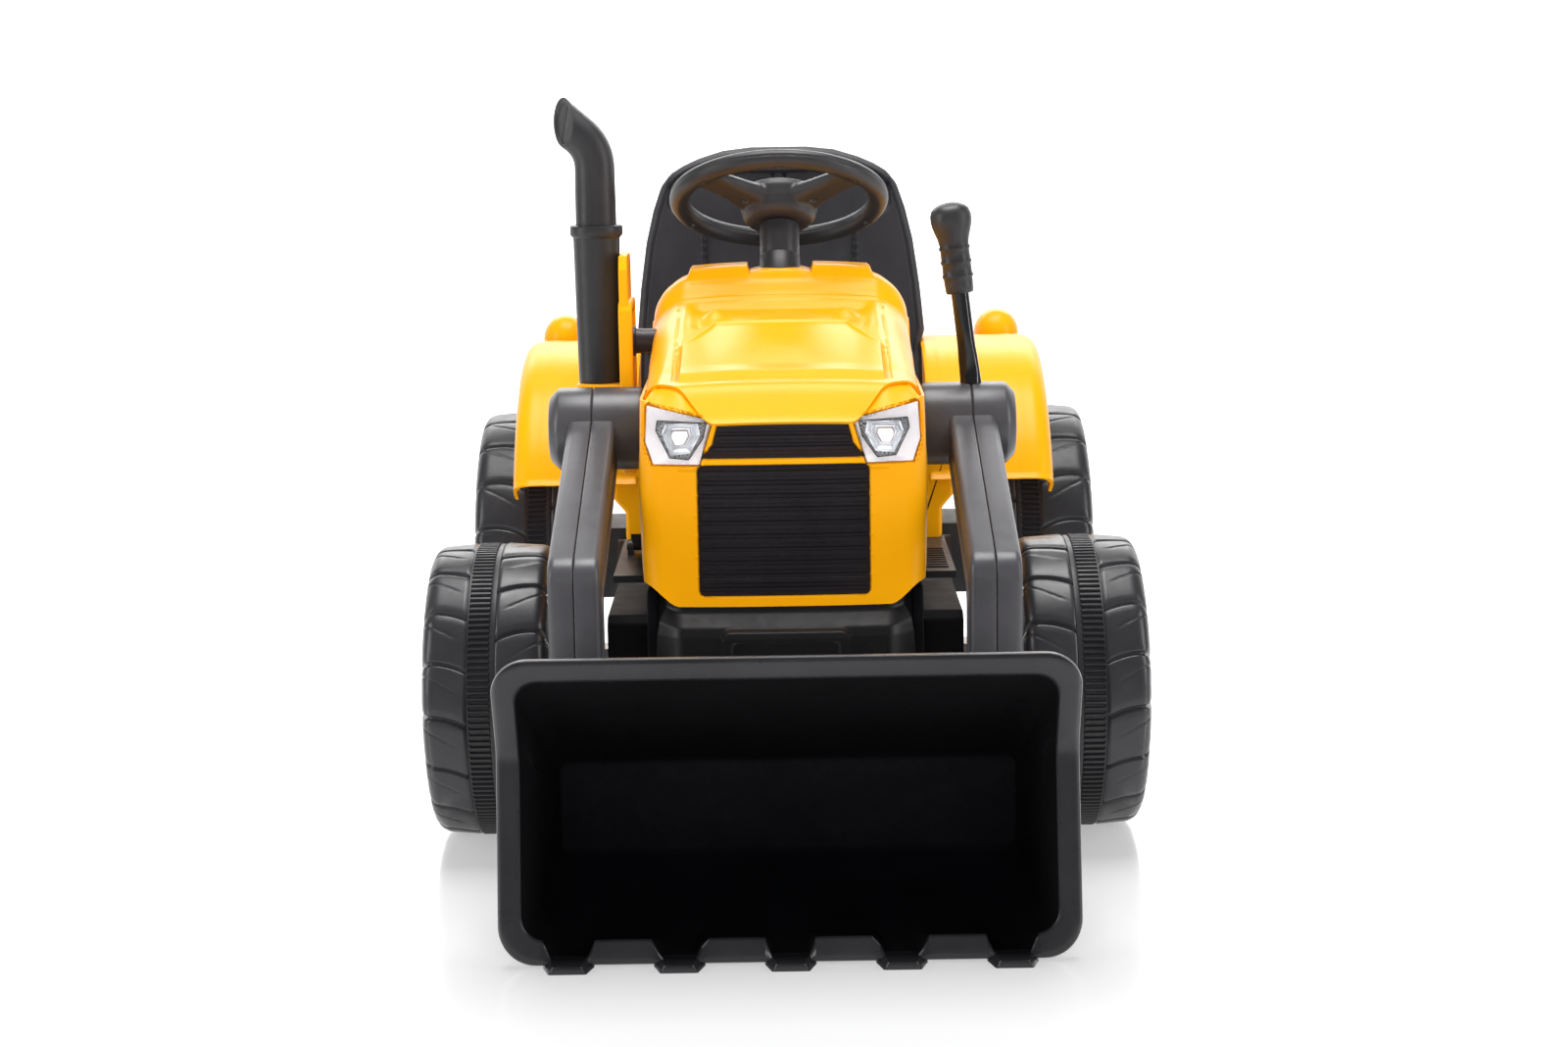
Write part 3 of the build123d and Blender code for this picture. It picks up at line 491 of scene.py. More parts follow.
# ---- wheels ----
def tyre_profile(x_in, x_out, radius):
    """Half section of the blow-moulded tyre, from the inner face round to the hub recess."""
    corners = [(x_in + 8, 30), (x_in + 8, radius * 0.52), (x_in, radius * 0.62), (x_in, radius - 24),
               (x_in + 3, radius - 3), (x_in + 44, radius - 0.2), (x_out - 44, radius - 0.2),
               (x_out - 4, radius - 3.5), (x_out, radius - 26), (x_out, radius * 0.62),
               (x_out - 5, radius * 0.56), (x_out - 9, 55), (x_out - 22, 53.5), (x_out - 22, 9)]
    path = round_path(corners, [0, 6, 10, 16, 20, 60, 60, 22, 18, 10, 8, 2, 2, 0], 8, closed=False)
    return resample(path, 170)


def groove_depth(angle, x, band_x, half_w, count, radius, r):
    """Depth of the tread's swept grooves and of the thin creases between them."""
    side = np.sign(x - band_x)
    reach = np.clip((np.abs(x - band_x) - BAND_W / 2) / (half_w - BAND_W / 2), 0, 1.2)
    sweep = 0.20 * reach - 0.15 * reach ** 2
    phase = (angle + sweep) * count / TAU + 0.4 * (side > 0)
    near = off_whole(phase) * TAU / count * radius
    crease_phase = (angle + 0.26 * reach - 0.06 * reach ** 2) * count / TAU + 0.5 + 0.4 * (side > 0)
    crease = off_whole(crease_phase) * TAU / count * radius
    fade = smooth(radius * 0.66, radius * 0.84, r)
    outside = smooth(BAND_W / 2 - 2, BAND_W / 2, np.abs(x - band_x))
    deep = 2.9 * fall(0.7, 2.5, near)
    pillow = 0.7 * fall(0.0, 9.0, near)
    thin = 0.8 * fall(0.3, 1.3, crease) * smooth(0.1, 0.3, reach)
    return (deep + thin + pillow) * fade * outside


def spin(builder, x, r, angles, wheel_place, wrap_cols=False):
    """Grid turned round a wheel's axle; wheel_place is its side, axle Y and radius."""
    side, y, radius = wheel_place
    pts = about_x(y, radius)(x, np.cos(angles)[:, None] * r, np.sin(angles)[:, None] * r)
    pts[..., 0] *= side
    builder.grid(pts, True, wrap_cols)


def wheel(word, side, front):
    """Tyre with real grooves, a ribbed band, and a turned hub."""
    x_in, x_out = (FRONT_IN, FRONT_OUT) if front else (REAR_IN, REAR_OUT)
    radius, y = (FRONT_R, FRONT_AXLE_Y) if front else (REAR_R, REAR_AXLE_Y)
    band_x = FRONT_BAND_X if front else REAR_BAND_X
    lugs, ribs = (17, 150) if front else (19, 178)
    profile = tyre_profile(x_in, x_out, radius)
    angles = turns_of(TYRE_STEPS)
    x = np.broadcast_to(profile[:, 0], (len(angles), len(profile)))
    r = np.broadcast_to(profile[:, 1], x.shape)
    tangent = np.gradient(profile, axis=0)
    tangent /= np.linalg.norm(tangent, axis=1)[:, None]
    half_w = (x_out - x_in) / 2 + 6
    depth = groove_depth(angles[:, None], x, band_x, half_w, lugs, radius, r)
    off_band = np.abs(x - band_x)
    depth = depth + 3.0 * fall(BAND_W / 2 - 0.3, BAND_W / 2 + 0.3, off_band) * (r > radius - 6)
    end = "front" if front else "rear"
    name = f"{end}_wheel_{word}"
    wheel_place = (side, y, radius)
    builder = Builder()
    spin(builder, x + tangent[:, 1] * depth, r - tangent[:, 0] * depth, angles, wheel_place)
    builder.make(name + "_tyre", TYRE_BLACK, name, 180)
    tread_band(f"{end}_tread_band_{word}", band_x, ribs, wheel_place)
    hub(f"{end}_hubcap_{word}", x_out, wheel_place)


def tread_band(node, band_x, ribs, wheel_place):
    """Ribbed ring with smooth borders, seated in the tyre's groove."""
    radius = wheel_place[2]
    half = BAND_W / 2 - 0.4
    samples = 10
    angles = turns_of(ribs * samples)
    phase = (np.arange(ribs * samples) % samples) / samples
    rib = smooth(0.0, 0.16, phase) * fall(0.52, 0.68, phase)
    across = np.array([-half, -half, -half + 0.6, -half + 4.2, -half + 4.9, -half + 5.5, half - 2.2,
                       half - 1.6, half - 0.5, half, half])
    low, high, strip = radius - 5.5, radius - 0.05, radius - 1.1
    flat = np.array([low, strip - 0.8, strip, strip, strip - 0.3, high, high, strip, strip, strip - 0.6, low])
    ribbed = np.array([0, 0, 0, 0, 0, 1, 1, 0, 0, 0, 0])
    rr = flat[None, :] - ribbed[None, :] * (1 - rib[:, None]) * 2.6
    builder = Builder()
    spin(builder, np.broadcast_to(band_x + across, rr.shape), rr, angles, wheel_place, True)
    builder.make(node + "_ribs", BAND_BLACK, node, 30)


def hub(node, x_out, wheel_place):
    """Hub cover: dished disc with raised ring, spokes and a domed cap."""
    spokes = 5
    angles = turns_of(HUB_STEPS)
    rr = np.broadcast_to(np.linspace(0.0, HUB_R, HUB_RINGS), (HUB_STEPS, HUB_RINGS))
    dome = 7.0 * np.sqrt(np.clip(1 - (rr / 17.0) ** 2, 0, 1))
    ring = 3.0 * smooth(41, 43, rr) * fall(50.5, 52.5, rr)
    spoke = off_whole(angles[:, None] * spokes / TAU) * TAU / spokes * rr
    pocket = smooth(19, 22, rr) * fall(38, 41, rr) * smooth(5.5, 8.0, spoke)
    step = 1.4 * smooth(16.6, 17.4, rr)
    x = x_out - 9.5 + dome + ring - 4.0 * pocket - step
    rounded = np.where(rr > 52.0, (rr - 52.0) * 1.5, 0)
    builder = Builder()
    spin(builder, x - rounded, rr, angles, wheel_place)
    builder.make(node + "_cover", BLACK, node, 40)


def wheels():
    for front in (True, False):
        for side, word in SIDES:
            wheel(word, side, front)


# ---- hood ----
LAMP = [(-61.5, 386), (-73, 348), (-113, 348.5), (-119.5, 368), (-117.5, 400)]
UPPER_GRILLE = [(-55.5, 383.5), (55.5, 383.5), (60.5, 365), (70.5, 354), (-70.5, 354), (-60.5, 365)]
LOWER_GRILLE = [(-70, 236), (70, 236), (70, 342.5), (-70, 342.5)]
LIP_CORNER_X = 62.0


def mirror_x(points):
    return [(-x, z) for x, z in points][::-1]


HOOD_LINE = [(-252, 384), (-250, 385.5), (-226, 412), (-219, 416), (-205, 418), (-172, 421.5),
             (-100, 439.5), (-20, 460), (10, 466), (21, 469), (27, 473), (36, 484), (41, 486.5),
             (44, 489.5), (47, 490.5), (80, 491)]
SHOULDER_Y = [-250, -200, -100, 80]
SHOULDER_R = [13, 20, 34, 40]
SHOULDER_HALF = [119, 121.5, 122.5, 122.5]
CROWN = 3.0
LIP_FRONT = -251.5


def hood_line(y):
    """Height of the hood's centre line."""
    return np.interp(y, [at for at, _ in HOOD_LINE], [height for _, height in HOOD_LINE])


def smooth_curve(xs, values, width):
    """Gaussian-smoothed copy of a function sampled on an even grid."""
    span = int(3 * width / (xs[1] - xs[0])) + 1
    kernel = np.exp(-0.5 * (np.arange(-span, span + 1) * (xs[1] - xs[0]) / width) ** 2)
    padded = np.pad(values, span, mode="edge")
    return np.convolve(padded, kernel / kernel.sum(), mode="valid")


PANEL = [(-64, -60), (-70, -76), (-84, -100), (-91, -106), (-91, -250), (91, -250), (91, -106),
         (84, -100), (70, -76), (64, -60)]


def hood_features(x, y):
    """Raised and sunk shapes of the hood's top."""
    a = np.abs(x)
    edge = polygon_distance(x, y, PANEL)
    panel = 5.2 * fall(-1.2, 0.8, edge) + 1.8 * bell(edge + 3.4, 1.6) * smooth(-110, -95, y)
    panel -= 1.8 * bell(edge - 1.4, 1.1)
    panel *= smooth(-212, -190, y)
    dish = -6.5 * smooth(-62, -40, y) * fall(6, 18, y) * fall(74, 90, a)
    boss = 7.5 * (bell(x + 62, 10) + bell(x - 62, 10)) * bell(y + 12, 12)
    crest = 2.2 * fall(0.0, 4.0, np.abs(y - 21)) * fall(94, 104, a)
    flank = -1.8 * fall(0.5, 2.0, np.abs(a - 96)) * smooth(-206, -190, y) * fall(6, 18, y)
    tabs = 8.5 * smooth(29.5, 32, a) * fall(86, 90.5, a) * smooth(40.5, 45, y)
    fade = smooth(90, 108, a) * smooth(12, 30, y)
    collar = 5.0 * np.sqrt(np.clip(1 - (x / 31.0) ** 2, 0, 1)) * smooth(38, 46, y)
    return panel + dish + boss + crest + flank + tabs + collar - 2.5 * fade


def lip_setback(a):
    """How far the brow's lip steps back over the lamps."""
    return 44 * smooth(LIP_CORNER_X - 4, 112, a) ** 0.9


def lip_height(a):
    """Height of the brow's lip."""
    y = LIP_FRONT + lip_setback(a)
    radius = np.interp(y, SHOULDER_Y, SHOULDER_R)
    flat = np.interp(y, SHOULDER_Y, SHOULDER_HALF) - radius
    fall = np.sqrt(1 - np.clip((a - flat) / radius, 0, 1) ** 2)
    return hood_line(y) - CROWN * np.clip(a / flat, 0, 1) ** 2.2 - radius * (1 - fall)


def hood_top():
    """Top shell: crowned sections along Y, with a brow lip that steps back over the lamps."""
    t = np.linspace(0, 1, 340)[:, None]
    y_at = -250 + t * 330
    radius = np.interp(y_at, SHOULDER_Y, SHOULDER_R)
    half = np.interp(y_at, SHOULDER_Y, SHOULDER_HALF)
    belt = np.interp(y_at, [-250, -200, 80], [10, 16, 34])
    top = np.linspace(0, 1, 126)
    arc = np.linspace(0, math.pi / 2, 26)[1:]
    side = np.linspace(0, 1, 14)[1:]
    x = np.hstack([top * (half - radius), half - radius + radius * np.sin(arc), half + 0.8 * side])
    drop = np.hstack([CROWN * top ** 2.2 + 0 * half, CROWN + radius * (1 - np.cos(arc)),
                      CROWN + radius + belt * side])
    x = np.hstack([-x[:, ::-1], x[:, 1:]])
    drop = np.hstack([drop[:, ::-1], drop[:, 1:]])
    even = np.linspace(-260, 90, 701)
    line = smooth_curve(even, hood_line(even), 3.0)
    y_front = LIP_FRONT + lip_setback(np.abs(x))
    y = y_front + t * (HOOD_BACK + 1 - y_front)
    z = np.interp(y, even, line) - drop + hood_features(x, y)
    pts = np.stack([x, y, z], axis=-1)
    lip = [pts[0] + (0, back, down) for back, down in ((10, -3.4), (2.4, -2.6), (0.8, -1.4))]
    tail = [pts[-1] + (0, back, down) for back, down in ((1.2, -1.5), (1.4, -6.0))]
    full = np.concatenate([lip, pts, tail], axis=0)
    grid_shell("hood_top_shell", full, YELLOW, 2.4, "hood", 50)


def hood_vents():
    """Narrow dark insets on the hood's shoulders."""
    along = np.linspace(-150, -90, 40)
    radius = np.interp(along, SHOULDER_Y, SHOULDER_R)[:, None]
    half = np.interp(along, SHOULDER_Y, SHOULDER_HALF)[:, None]
    spread = np.sqrt(np.clip(1 - ((along + 120) / 30.5) ** 4, 0, 1))[:, None]
    turn = math.radians(58) + math.radians(22) * spread * np.linspace(-1, 1, 14)[None, :]
    x = half - radius + (radius + 0.7) * np.sin(turn)
    z = hood_line(along)[:, None] - CROWN - radius + (radius + 0.7) * np.cos(turn)
    y = np.broadcast_to(along[:, None], x.shape)
    for side, word in SIDES:
        pts = np.stack([side * x, y, z], axis=-1)
        grid_shell(f"hood_vent_{word}", pts, GRILLE_BLACK, 1.0, "hood", 40)


def hood_corners():
    """Ledges that close the hood's shoulders above the lamps."""
    builder = Builder()
    outline = round_path([(98, -228), (121.5, -228), (121.5, -188), (98, -188)], 3, 4)
    for side in (-1, 1):
        prism(builder, outline * (side, 1), 384, 400.5, 1.0, axes=(0, 1, 2))
    builder.make("hood_corner_ledges", YELLOW, "hood")


SHELL_CORE = np.array([0.0, 0.0, 300.0])


def grid_shell(name, pts, material, thickness, node, flat_angle=40):
    """Closed wall behind a grid of surface points; its inner side faces the vehicle's core."""
    rows, cols = pts.shape[:2]
    normals = np.cross(np.gradient(pts, axis=1), np.gradient(pts, axis=0))
    normals /= np.linalg.norm(normals, axis=-1, keepdims=True) + 1e-9
    if np.sum(normals * (pts - SHELL_CORE)) < 0:
        normals = -normals
    inner = pts - normals * thickness
    count = rows * cols
    faces = grid_faces(rows, cols) + [face[::-1] for face in grid_faces(rows, cols, offset=count)]
    index = np.arange(count).reshape(rows, cols)
    border = np.concatenate([index[0, :], index[1:, -1], index[-1, -2::-1], index[-2:0:-1, 0]]).tolist()
    faces += [[a, b, b + count, a + count] for a, b in zip(border, border[1:] + border[:1])]
    finish_piece(new_object(name, np.stack([pts, inner]), faces, material), node, flat_angle)


def front_face_y(x, z):
    """Fascia surface: gently bowed, drawn back below the lamps."""
    bow = 6.0 * (np.abs(x) / 110.0) ** 2.6
    lower = 0.036 * np.clip(300 - z, 0, 80)
    return HOOD_FRONT + bow + lower


def hood_skirt():
    """Fascia and side walls as one wrapped wall, sunk at the grilles and lamps."""
    corner_r = 17.0
    front_n, arc_n, side_n, rows = 236, 18, 150, 186
    half = HOOD_HALF_W
    xs_front = np.linspace(0, half - corner_r, front_n // 2)
    arc = np.linspace(0, math.pi / 2, arc_n)[1:]
    side_len = np.linspace(0, 1, side_n)[1:]
    path = [(x, 0.0, 0.0) for x in xs_front]
    path += [(half - corner_r + corner_r * math.sin(a), corner_r * (1 - math.cos(a)), 0.0) for a in arc]
    path += [(half, corner_r, d) for d in side_len]
    path = np.array(path)
    full = np.vstack([path[::-1] * (-1, 1, 1), path[1:]])
    x = np.broadcast_to(full[:, 0], (rows, len(full)))
    set_back = np.broadcast_to(full[:, 1], x.shape)
    along = np.broadcast_to(full[:, 2], x.shape)
    t = np.linspace(0, 1, rows)[:, None]
    a = np.abs(x)
    bottom = HOOD_BOTTOM + 20 * smooth(92, 124, a) * (1 - along) + 8 * along
    y_side = HOOD_FRONT + corner_r + along * (HOOD_BACK - HOOD_FRONT - corner_r)
    belt = hood_line(y_side) - CROWN - np.interp(y_side, SHOULDER_Y, SHOULDER_R) - 4
    top_mid, top_side = 384.3, 404
    brow = np.interp(a, [60, 92, 124], [top_mid, 400, top_side])
    top = np.where(a < 60, top_mid, np.maximum(lip_height(a) - 1.2, brow))
    top = np.where(along > 0, np.maximum(belt, top_side), top)
    z = bottom + t * (top - bottom)
    lens_top = 387.5 + 0.25 * np.clip(a - 61.5, 0, 60)
    lean = lip_setback(a) * fall(108, 121, a) * smooth(56, 64, a)
    lean = lean * np.clip((z - lens_top) / np.maximum(top - lens_top, 1.5), 0, 1)
    y = front_face_y(x, z) + set_back + lean
    y = y + along * (HOOD_BACK - y)
    bulge = 4.5 * smooth(0, 0.25, along) * fall(0.55, 0.97, t)
    waist = 3.0 * np.sin(np.clip((z - 230) / 180, 0, 1) * math.pi) * smooth(100, 124, a)
    x = x + np.sign(x) * (bulge + waist * 0.6) * smooth(100, 124, a)
    grille = np.minimum(polygon_distance(x, z, LOWER_GRILLE, 5.0),
                        polygon_distance(x, z, UPPER_GRILLE, 1.0))
    lamps = np.minimum(polygon_distance(x, z, LAMP, 1.0), polygon_distance(x, z, mirror_x(LAMP), 1.0))
    sink = 7.5 * fall(-1.0, 0.6, grille) + 19.0 * fall(-1.2, 0.5, lamps)
    rim = 1.3 * fall(3.4, 4.6, lamps) * smooth(-0.5, 0.5, lamps) * (a < 92) * (z < 386)
    bar = 1.2 * fall(2.4, 4.2, np.abs(z - 348.3)) * fall(74, 78, a)
    tick_pitch = 18
    ticks = 0.9 * fall(0.5, 1.6, off_whole((z - 249) / tick_pitch) * tick_pitch)
    ticks = ticks * fall(1.2, 2.6, np.abs(a - 75.5)) * (z < 335) * (z > 240)
    y = y + np.where(along <= 0, sink - rim - bar - ticks, 0)
    grid_shell("hood_fascia", np.stack([x, y, z], axis=-1), YELLOW, 2.4, "hood", 50)


def slatted_panel(node, outline, rounding, slats):
    """Grille insert: a heightfield with louvre slats inside an outline."""
    (x0, z0), (x1, z1) = np.min(outline, axis=0), np.max(outline, axis=0)
    x0, x1 = x0 - 8, x1 + 8
    zz = np.linspace(z0 - 8, z1 + 8, int((z1 - z0) * 2.4))
    x, z = np.meshgrid(np.linspace(x0, x1, 120), zz)
    phase = ((z - z0) / (z1 - z0) * slats) % 1.0
    louvre = 2.3 * smooth(0.04, 0.9, phase) * fall(0.93, 1.0, phase)
    ribs = 0.3 * np.cos(phase * 3 * TAU)
    edge = polygon_distance(x, z, outline)
    frame_band = smooth(rounding - 2.0, rounding - 0.8, edge)
    y = front_face_y(x, z) + 3.4 - (louvre + ribs) * (1 - frame_band) - 0.3 * frame_band
    y = y + 12.0 * smooth(rounding + 0.4, rounding + 2.2, edge)
    grid_shell(node + "_slats", np.stack([x, y, z], axis=-1), GRILLE_BLACK, 1.0, node)


def grilles():
    slatted_panel("lower_grille", LOWER_GRILLE, 5.0, 9)
    slatted_panel("upper_grille", UPPER_GRILLE, 1.0, 3)


# ---- headlights ----
HOUSING = [(-66.5, 383.5), (-69.5, 370.5), (-82, 352), (-98.5, 353.5), (-110, 377), (-108.5, 386)]
CUP = [(-73.5, 384), (-71.5, 374), (-80.5, 357.5), (-97, 356), (-105, 375), (-102, 383.5)]
LAMP_CENTRE = np.array((-90.5, 370.0))
LAMP_TOP = 386
CUP_FOLDS = ((0.16, 2.4), (0.42, -2.6), (0.5, 3.0), (0.78, -1.8))
LENS_RINGS = ((0.001, -0.9), (0.35, -0.9), (0.7, -0.8), (0.9, -0.6), (0.955, -0.4), (0.975, 0.1),
              (0.985, 1.0), (0.97, 1.6), (0.6, 1.4), (0.2, 1.3))


def scaled(points, factor):
    """Outline drawn together towards the lamp's centre."""
    return LAMP_CENTRE + (np.asarray(points, float) - LAMP_CENTRE) * factor


def on_fascia(flat, side, depth):
    """Points of a lamp's outline, a depth behind the fascia."""
    y = front_face_y(flat[:, 0], np.minimum(flat[:, 1], LAMP_TOP)) + depth
    return np.stack([flat[:, 0] * -side, y, flat[:, 1]], axis=-1)


def nested_plate(name, side, outline, inner, depth, material, node, count, folds):
    """Ring-shaped facet between two outlines of the lamp, stepped where folds say."""
    outer = resample(np.array(outline, float), 144, True)
    core = resample(np.array(inner, float), 144, True)
    rings = []
    for t in np.linspace(0, 1, count):
        step = sum(size * float(smooth(at - 0.03, at + 0.03, t)) for at, size in folds)
        rings.append(on_fascia(outer + (core - outer) * t, side, np.interp(t, [0, 1], depth) + step))
    builder = Builder()
    builder.grid(np.array(rings), wrap_cols=True)
    builder.make(name, material, node, 20)


def headlight(side, word, cores):
    """Pale border, hatched housing, nested reflector cup, bright core and a clear cover."""
    plates = (
        ("border", LAMP, HOUSING, (3.0, 9.0), LAMP_WHITE, 12, ()),
        ("hatch", HOUSING, CUP, (9.0, 6.0), LAMP_HATCH_GLINTS, 12, ()),
        ("edge", scaled(HOUSING, 1.03), scaled(HOUSING, 0.985), (7.6, 8.0), GLOSS_BLACK, 4, ()),
        ("cup", CUP, scaled(CUP, 0.40), (5.0, 16.0), CHROME, 60, CUP_FOLDS),
        ("seat", scaled(CUP, 0.42), scaled(CUP, 0.02), (14.0, 13.0), LAMP_WHITE, 8, ()),
    )
    for part, outline, inner, depth, material, count, folds in plates:
        nested_plate(f"headlight_{part}_{word}", side, outline, inner, depth, material,
                     f"headlight_reflector_{word}", count, folds)
    outline = resample(round_path(LAMP, [3, 4, 7, 10, 4], 6), 160, True)
    builder = Builder()
    builder.grid(np.array([on_fascia(scaled(outline, rho), side, lift) for rho, lift in LENS_RINGS]),
                 wrap_cols=True)
    node = f"headlight_lens_{word}"
    builder.make(node + "_cover", LENS, node, 40)
    x, z = LAMP_CENTRE
    place = lambda t, a, b: np.stack([(x + a) * -side, HOOD_FRONT + 11.0 + t, z + b], axis=-1)
    revolve(cores, [(0, 0.01), (0.2, 1.6), (0.9, 3.2), (2.4, 4.1), (5.0, 4.3)], 32, place)


def headlights():
    cores = Builder()
    for side, word in SIDES:
        headlight(side, word, cores)
    cores.make("headlight_cores", LED, "headlight_leds", 40)


# ---- bumper ----
def bumper():
    """Front bumper: sloped top, angled ends, raised centre plate with a sunk face."""
    profile = round_path([(0, 222), (0, 217), (-13, 205), (-15, 197), (-15, 160), (-4, 148)],
                         [0, 4, 6, 4, 8, 0], 6, closed=False)
    profile = resample(profile, 100)
    xs = np.concatenate([np.linspace(-122, -50, 60), np.linspace(-49, 49, 60), np.linspace(50, 122, 60)])
    x, row = np.meshgrid(xs, np.arange(len(profile)))
    off, z = profile[row, 0], profile[row, 1]
    a = np.abs(x)
    plan = -247 + 26 * smooth(88, 124, a) * 0.9 + 3.0 * (a / 90) ** 2
    plate_edge = polygon_distance(x, z, [(-48, 140), (48, 140), (48, 196), (-48, 196)], 8)
    face_edge = polygon_distance(x, z, [(-42, 140), (42, 140), (42, 189), (-42, 189)], 5)
    plate = 8.0 * fall(-1.5, 1.0, plate_edge)
    sunk = 3.0 * fall(-1.0, 1.0, face_edge)
    rise = 9 * smooth(88, 124, a) * smooth(195, 222, z)
    y = plan + off - plate + sunk
    # The cover takes the darkened black: painted shade from the bucket.
    grid_shell("front_bumper_cover", np.stack([x, y, z + rise], axis=-1), BUMPER_SHADE_BLACK, 2, "front_bumper")
    wings = Builder()
    high = round_path([(-236, 150), (-240, 205), (-232, 236), (-214, 238), (-196, 212), (-60, 210),
                       (-60, 158), (-180, 150)], [4, 10, 5, 5, 8, 4, 4, 20], 5)
    low = round_path([(-222, 150), (-224, 203), (-214, 210), (-70, 209), (-66, 160), (-180, 150)],
                     [6, 6, 4, 4, 6, 20], 5)
    for side in (-1, 1):
        prism(wings, high, side * 112.0, side * 121.5, 2.0)
        prism(wings, low, side * 119.0, side * 158.0, 3.0)
    # The end wings take the near-black copy: painted shade.
    wings.make("front_bumper_wings", CAVITY_SHADE_BLACK, "front_bumper")


# ---- loader arms ----
ARM_IN, ARM_SEAM, ARM_OUT = 154.0, 176.0, 198.0
ARM_OUTLINE = [(-52, 382.2), (-365, 282), (-365, 60.5), (-310, 60.5), (-310, 241.9), (-60, 321.9), (-46, 326)]


PIVOT_HUB_IN = [(-0.2, 30), (-0.2, 37.2), (-1.4, 38.5), (-42, 38.5), (-45, 37.3), (-46, 34.5), (-46, 13)]
PIVOT_HUB_OUT = [(0.2, 30), (0.2, 37.2), (1.4, 38.5), (30.5, 38.5), (32.8, 37.6), (39.6, 30.6), (40.8, 28),
                 (40.9, 24.5), (39.2, 23.2), (39.0, 9), (36.5, 8), (36.4, 0.01)]
BUCKET_BOSS = [(22, 22), (23.5, 21.3), (24.4, 20), (24.6, 8.2), (21, 8.1)]


def arms():
    """Clamshell halves that meet at a fine seam, each with its half of the pivot hub."""
    outline = round_path(ARM_OUTLINE, [2, 26, 27, 27, 14, 2, 2], 8)
    outline = np.array([p for k, p in enumerate(outline)
                        if k == 0 or np.linalg.norm(p - outline[k - 1]) > 0.2])
    for side, word in SIDES:
        for half, way, edge, hub_profile in (("inner", -1, ARM_IN, PIVOT_HUB_IN),
                                             ("outer", 1, ARM_OUT, PIVOT_HUB_OUT)):
            builder = Builder()
            prism(builder, outline, side * (ARM_SEAM + way * 0.25), side * edge, 1.3, 6.0, panel=(13, 1.6))
            revolve(builder, (np.array(hub_profile) + (ARM_SEAM, 0)) * (side, 1), 120,
                    about_x(PIVOT_Y, PIVOT_Z))
            if half == "outer":
                revolve(builder, (np.array(BUCKET_BOSS) + (ARM_SEAM, 0)) * (side, 1), 60,
                        about_x(BUCKET_PIVOT_Y, BUCKET_PIVOT_Z))
            node = f"arm_{word}_{half}"
            # The arm shells take the lightened black: painted highlight.
            builder.make(node + "_shell", ARM_HIGHLIGHT_BLACK, node)


# ---- bucket ----
BUCKET_TOP = 245.0
# half width, top, bottom, corner radius, then a set-back behind the mouth's edge or a fixed Y
SKIN_LOOPS = (
    (196, 118, 42, 12, None, -372), (200, 122, 38, 14, None, -372.6), (203.5, 126, 35, 16, None, -375.5),
    (204.5, 128, 33, 17, None, -379), (207, 205.5, 3.5, 18, None, -498), (211, 233, 3.5, 22, 14.5),
    (212.5, 236, 3.5, 23, 13.2), (224, 242, 3.0, 27, 13), (227, 244, 2.5, 29, 12), (228, 245, 2.2, 30, 10),
    (228, 245, 2.0, 30, 5.5), (227.4, 244.3, 2.4, 29.5, 3.2), (225.6, 242.4, 3.6, 28.5, 1.3),
    (223, 240, 6.0, 27, 0.35), (220.5, 237.5, 8.2, 26, 0.0), (212.5, 229.0, 18.5, 21, 0.4),
    (210.6, 227.2, 20.4, 19.5, 1.0), (209.4, 226.0, 21.4, 18.5, 2.6),
)
CAVITY_LOOPS = (
    (209.4, 226.0, 21.4, 18.5, 2.6), (208.8, 225.4, 20.5, 18, 6), (207.0, 222.5, 15, 17, 14),
    (201, 199.5, 7.5, 16, None, -498), (192, 124.5, 37.5, 13, None, -385),
    (190, 121.5, 40.5, 12, None, -379.5), (186, 117.5, 44.5, 11, None, -376.8),
    (184, 115.5, 46.5, 10, None, -376.6),
)


def mouth_y(z):
    """Front edge of the bucket's side, with a softened kink."""
    low, high = (z - 2) * 36 / 161, (BUCKET_TOP - z) * 36 / 82
    return -556 - 2.0 * np.log(np.exp(-low / 2.0) + np.exp(-high / 2.0))


def bucket_loop(half, top, low, radius, setback, fixed_y=None):
    """Rounded rectangle round the bucket, with the front lip let down at the teeth."""
    arc = np.linspace(0, math.pi / 2, 13)[1:-1]
    near, far = radius * np.sin(arc), radius * np.cos(arc)
    across = np.linspace(-half + radius, half - radius, 70)
    down = np.linspace(top - radius, low + radius, 44)
    flat_x, flat_z = half - radius, (top - radius, low + radius)
    x = np.concatenate([across, flat_x + near, 0 * down + half, flat_x + far,
                        -across, -flat_x - near, 0 * down - half, -flat_x - far])
    z = np.concatenate([0 * across + top, flat_z[0] + far, down, flat_z[1] - near,
                        0 * across + low, flat_z[1] - far, down[::-1], flat_z[0] + near])
    y = mouth_y(z) + setback if fixed_y is None else np.full(len(x), float(fixed_y))
    channel = fall(13.0, 20.0, off_whole(x / TOOTH_PITCH) * TOOTH_PITCH) * (np.abs(x) < 198)
    channel_floor = 4.2
    on_lip = (z < 30) & (y < -505) & (z > channel_floor)
    return np.stack([x, y, z - np.where(on_lip, (z - channel_floor) * channel, 0)], axis=-1)


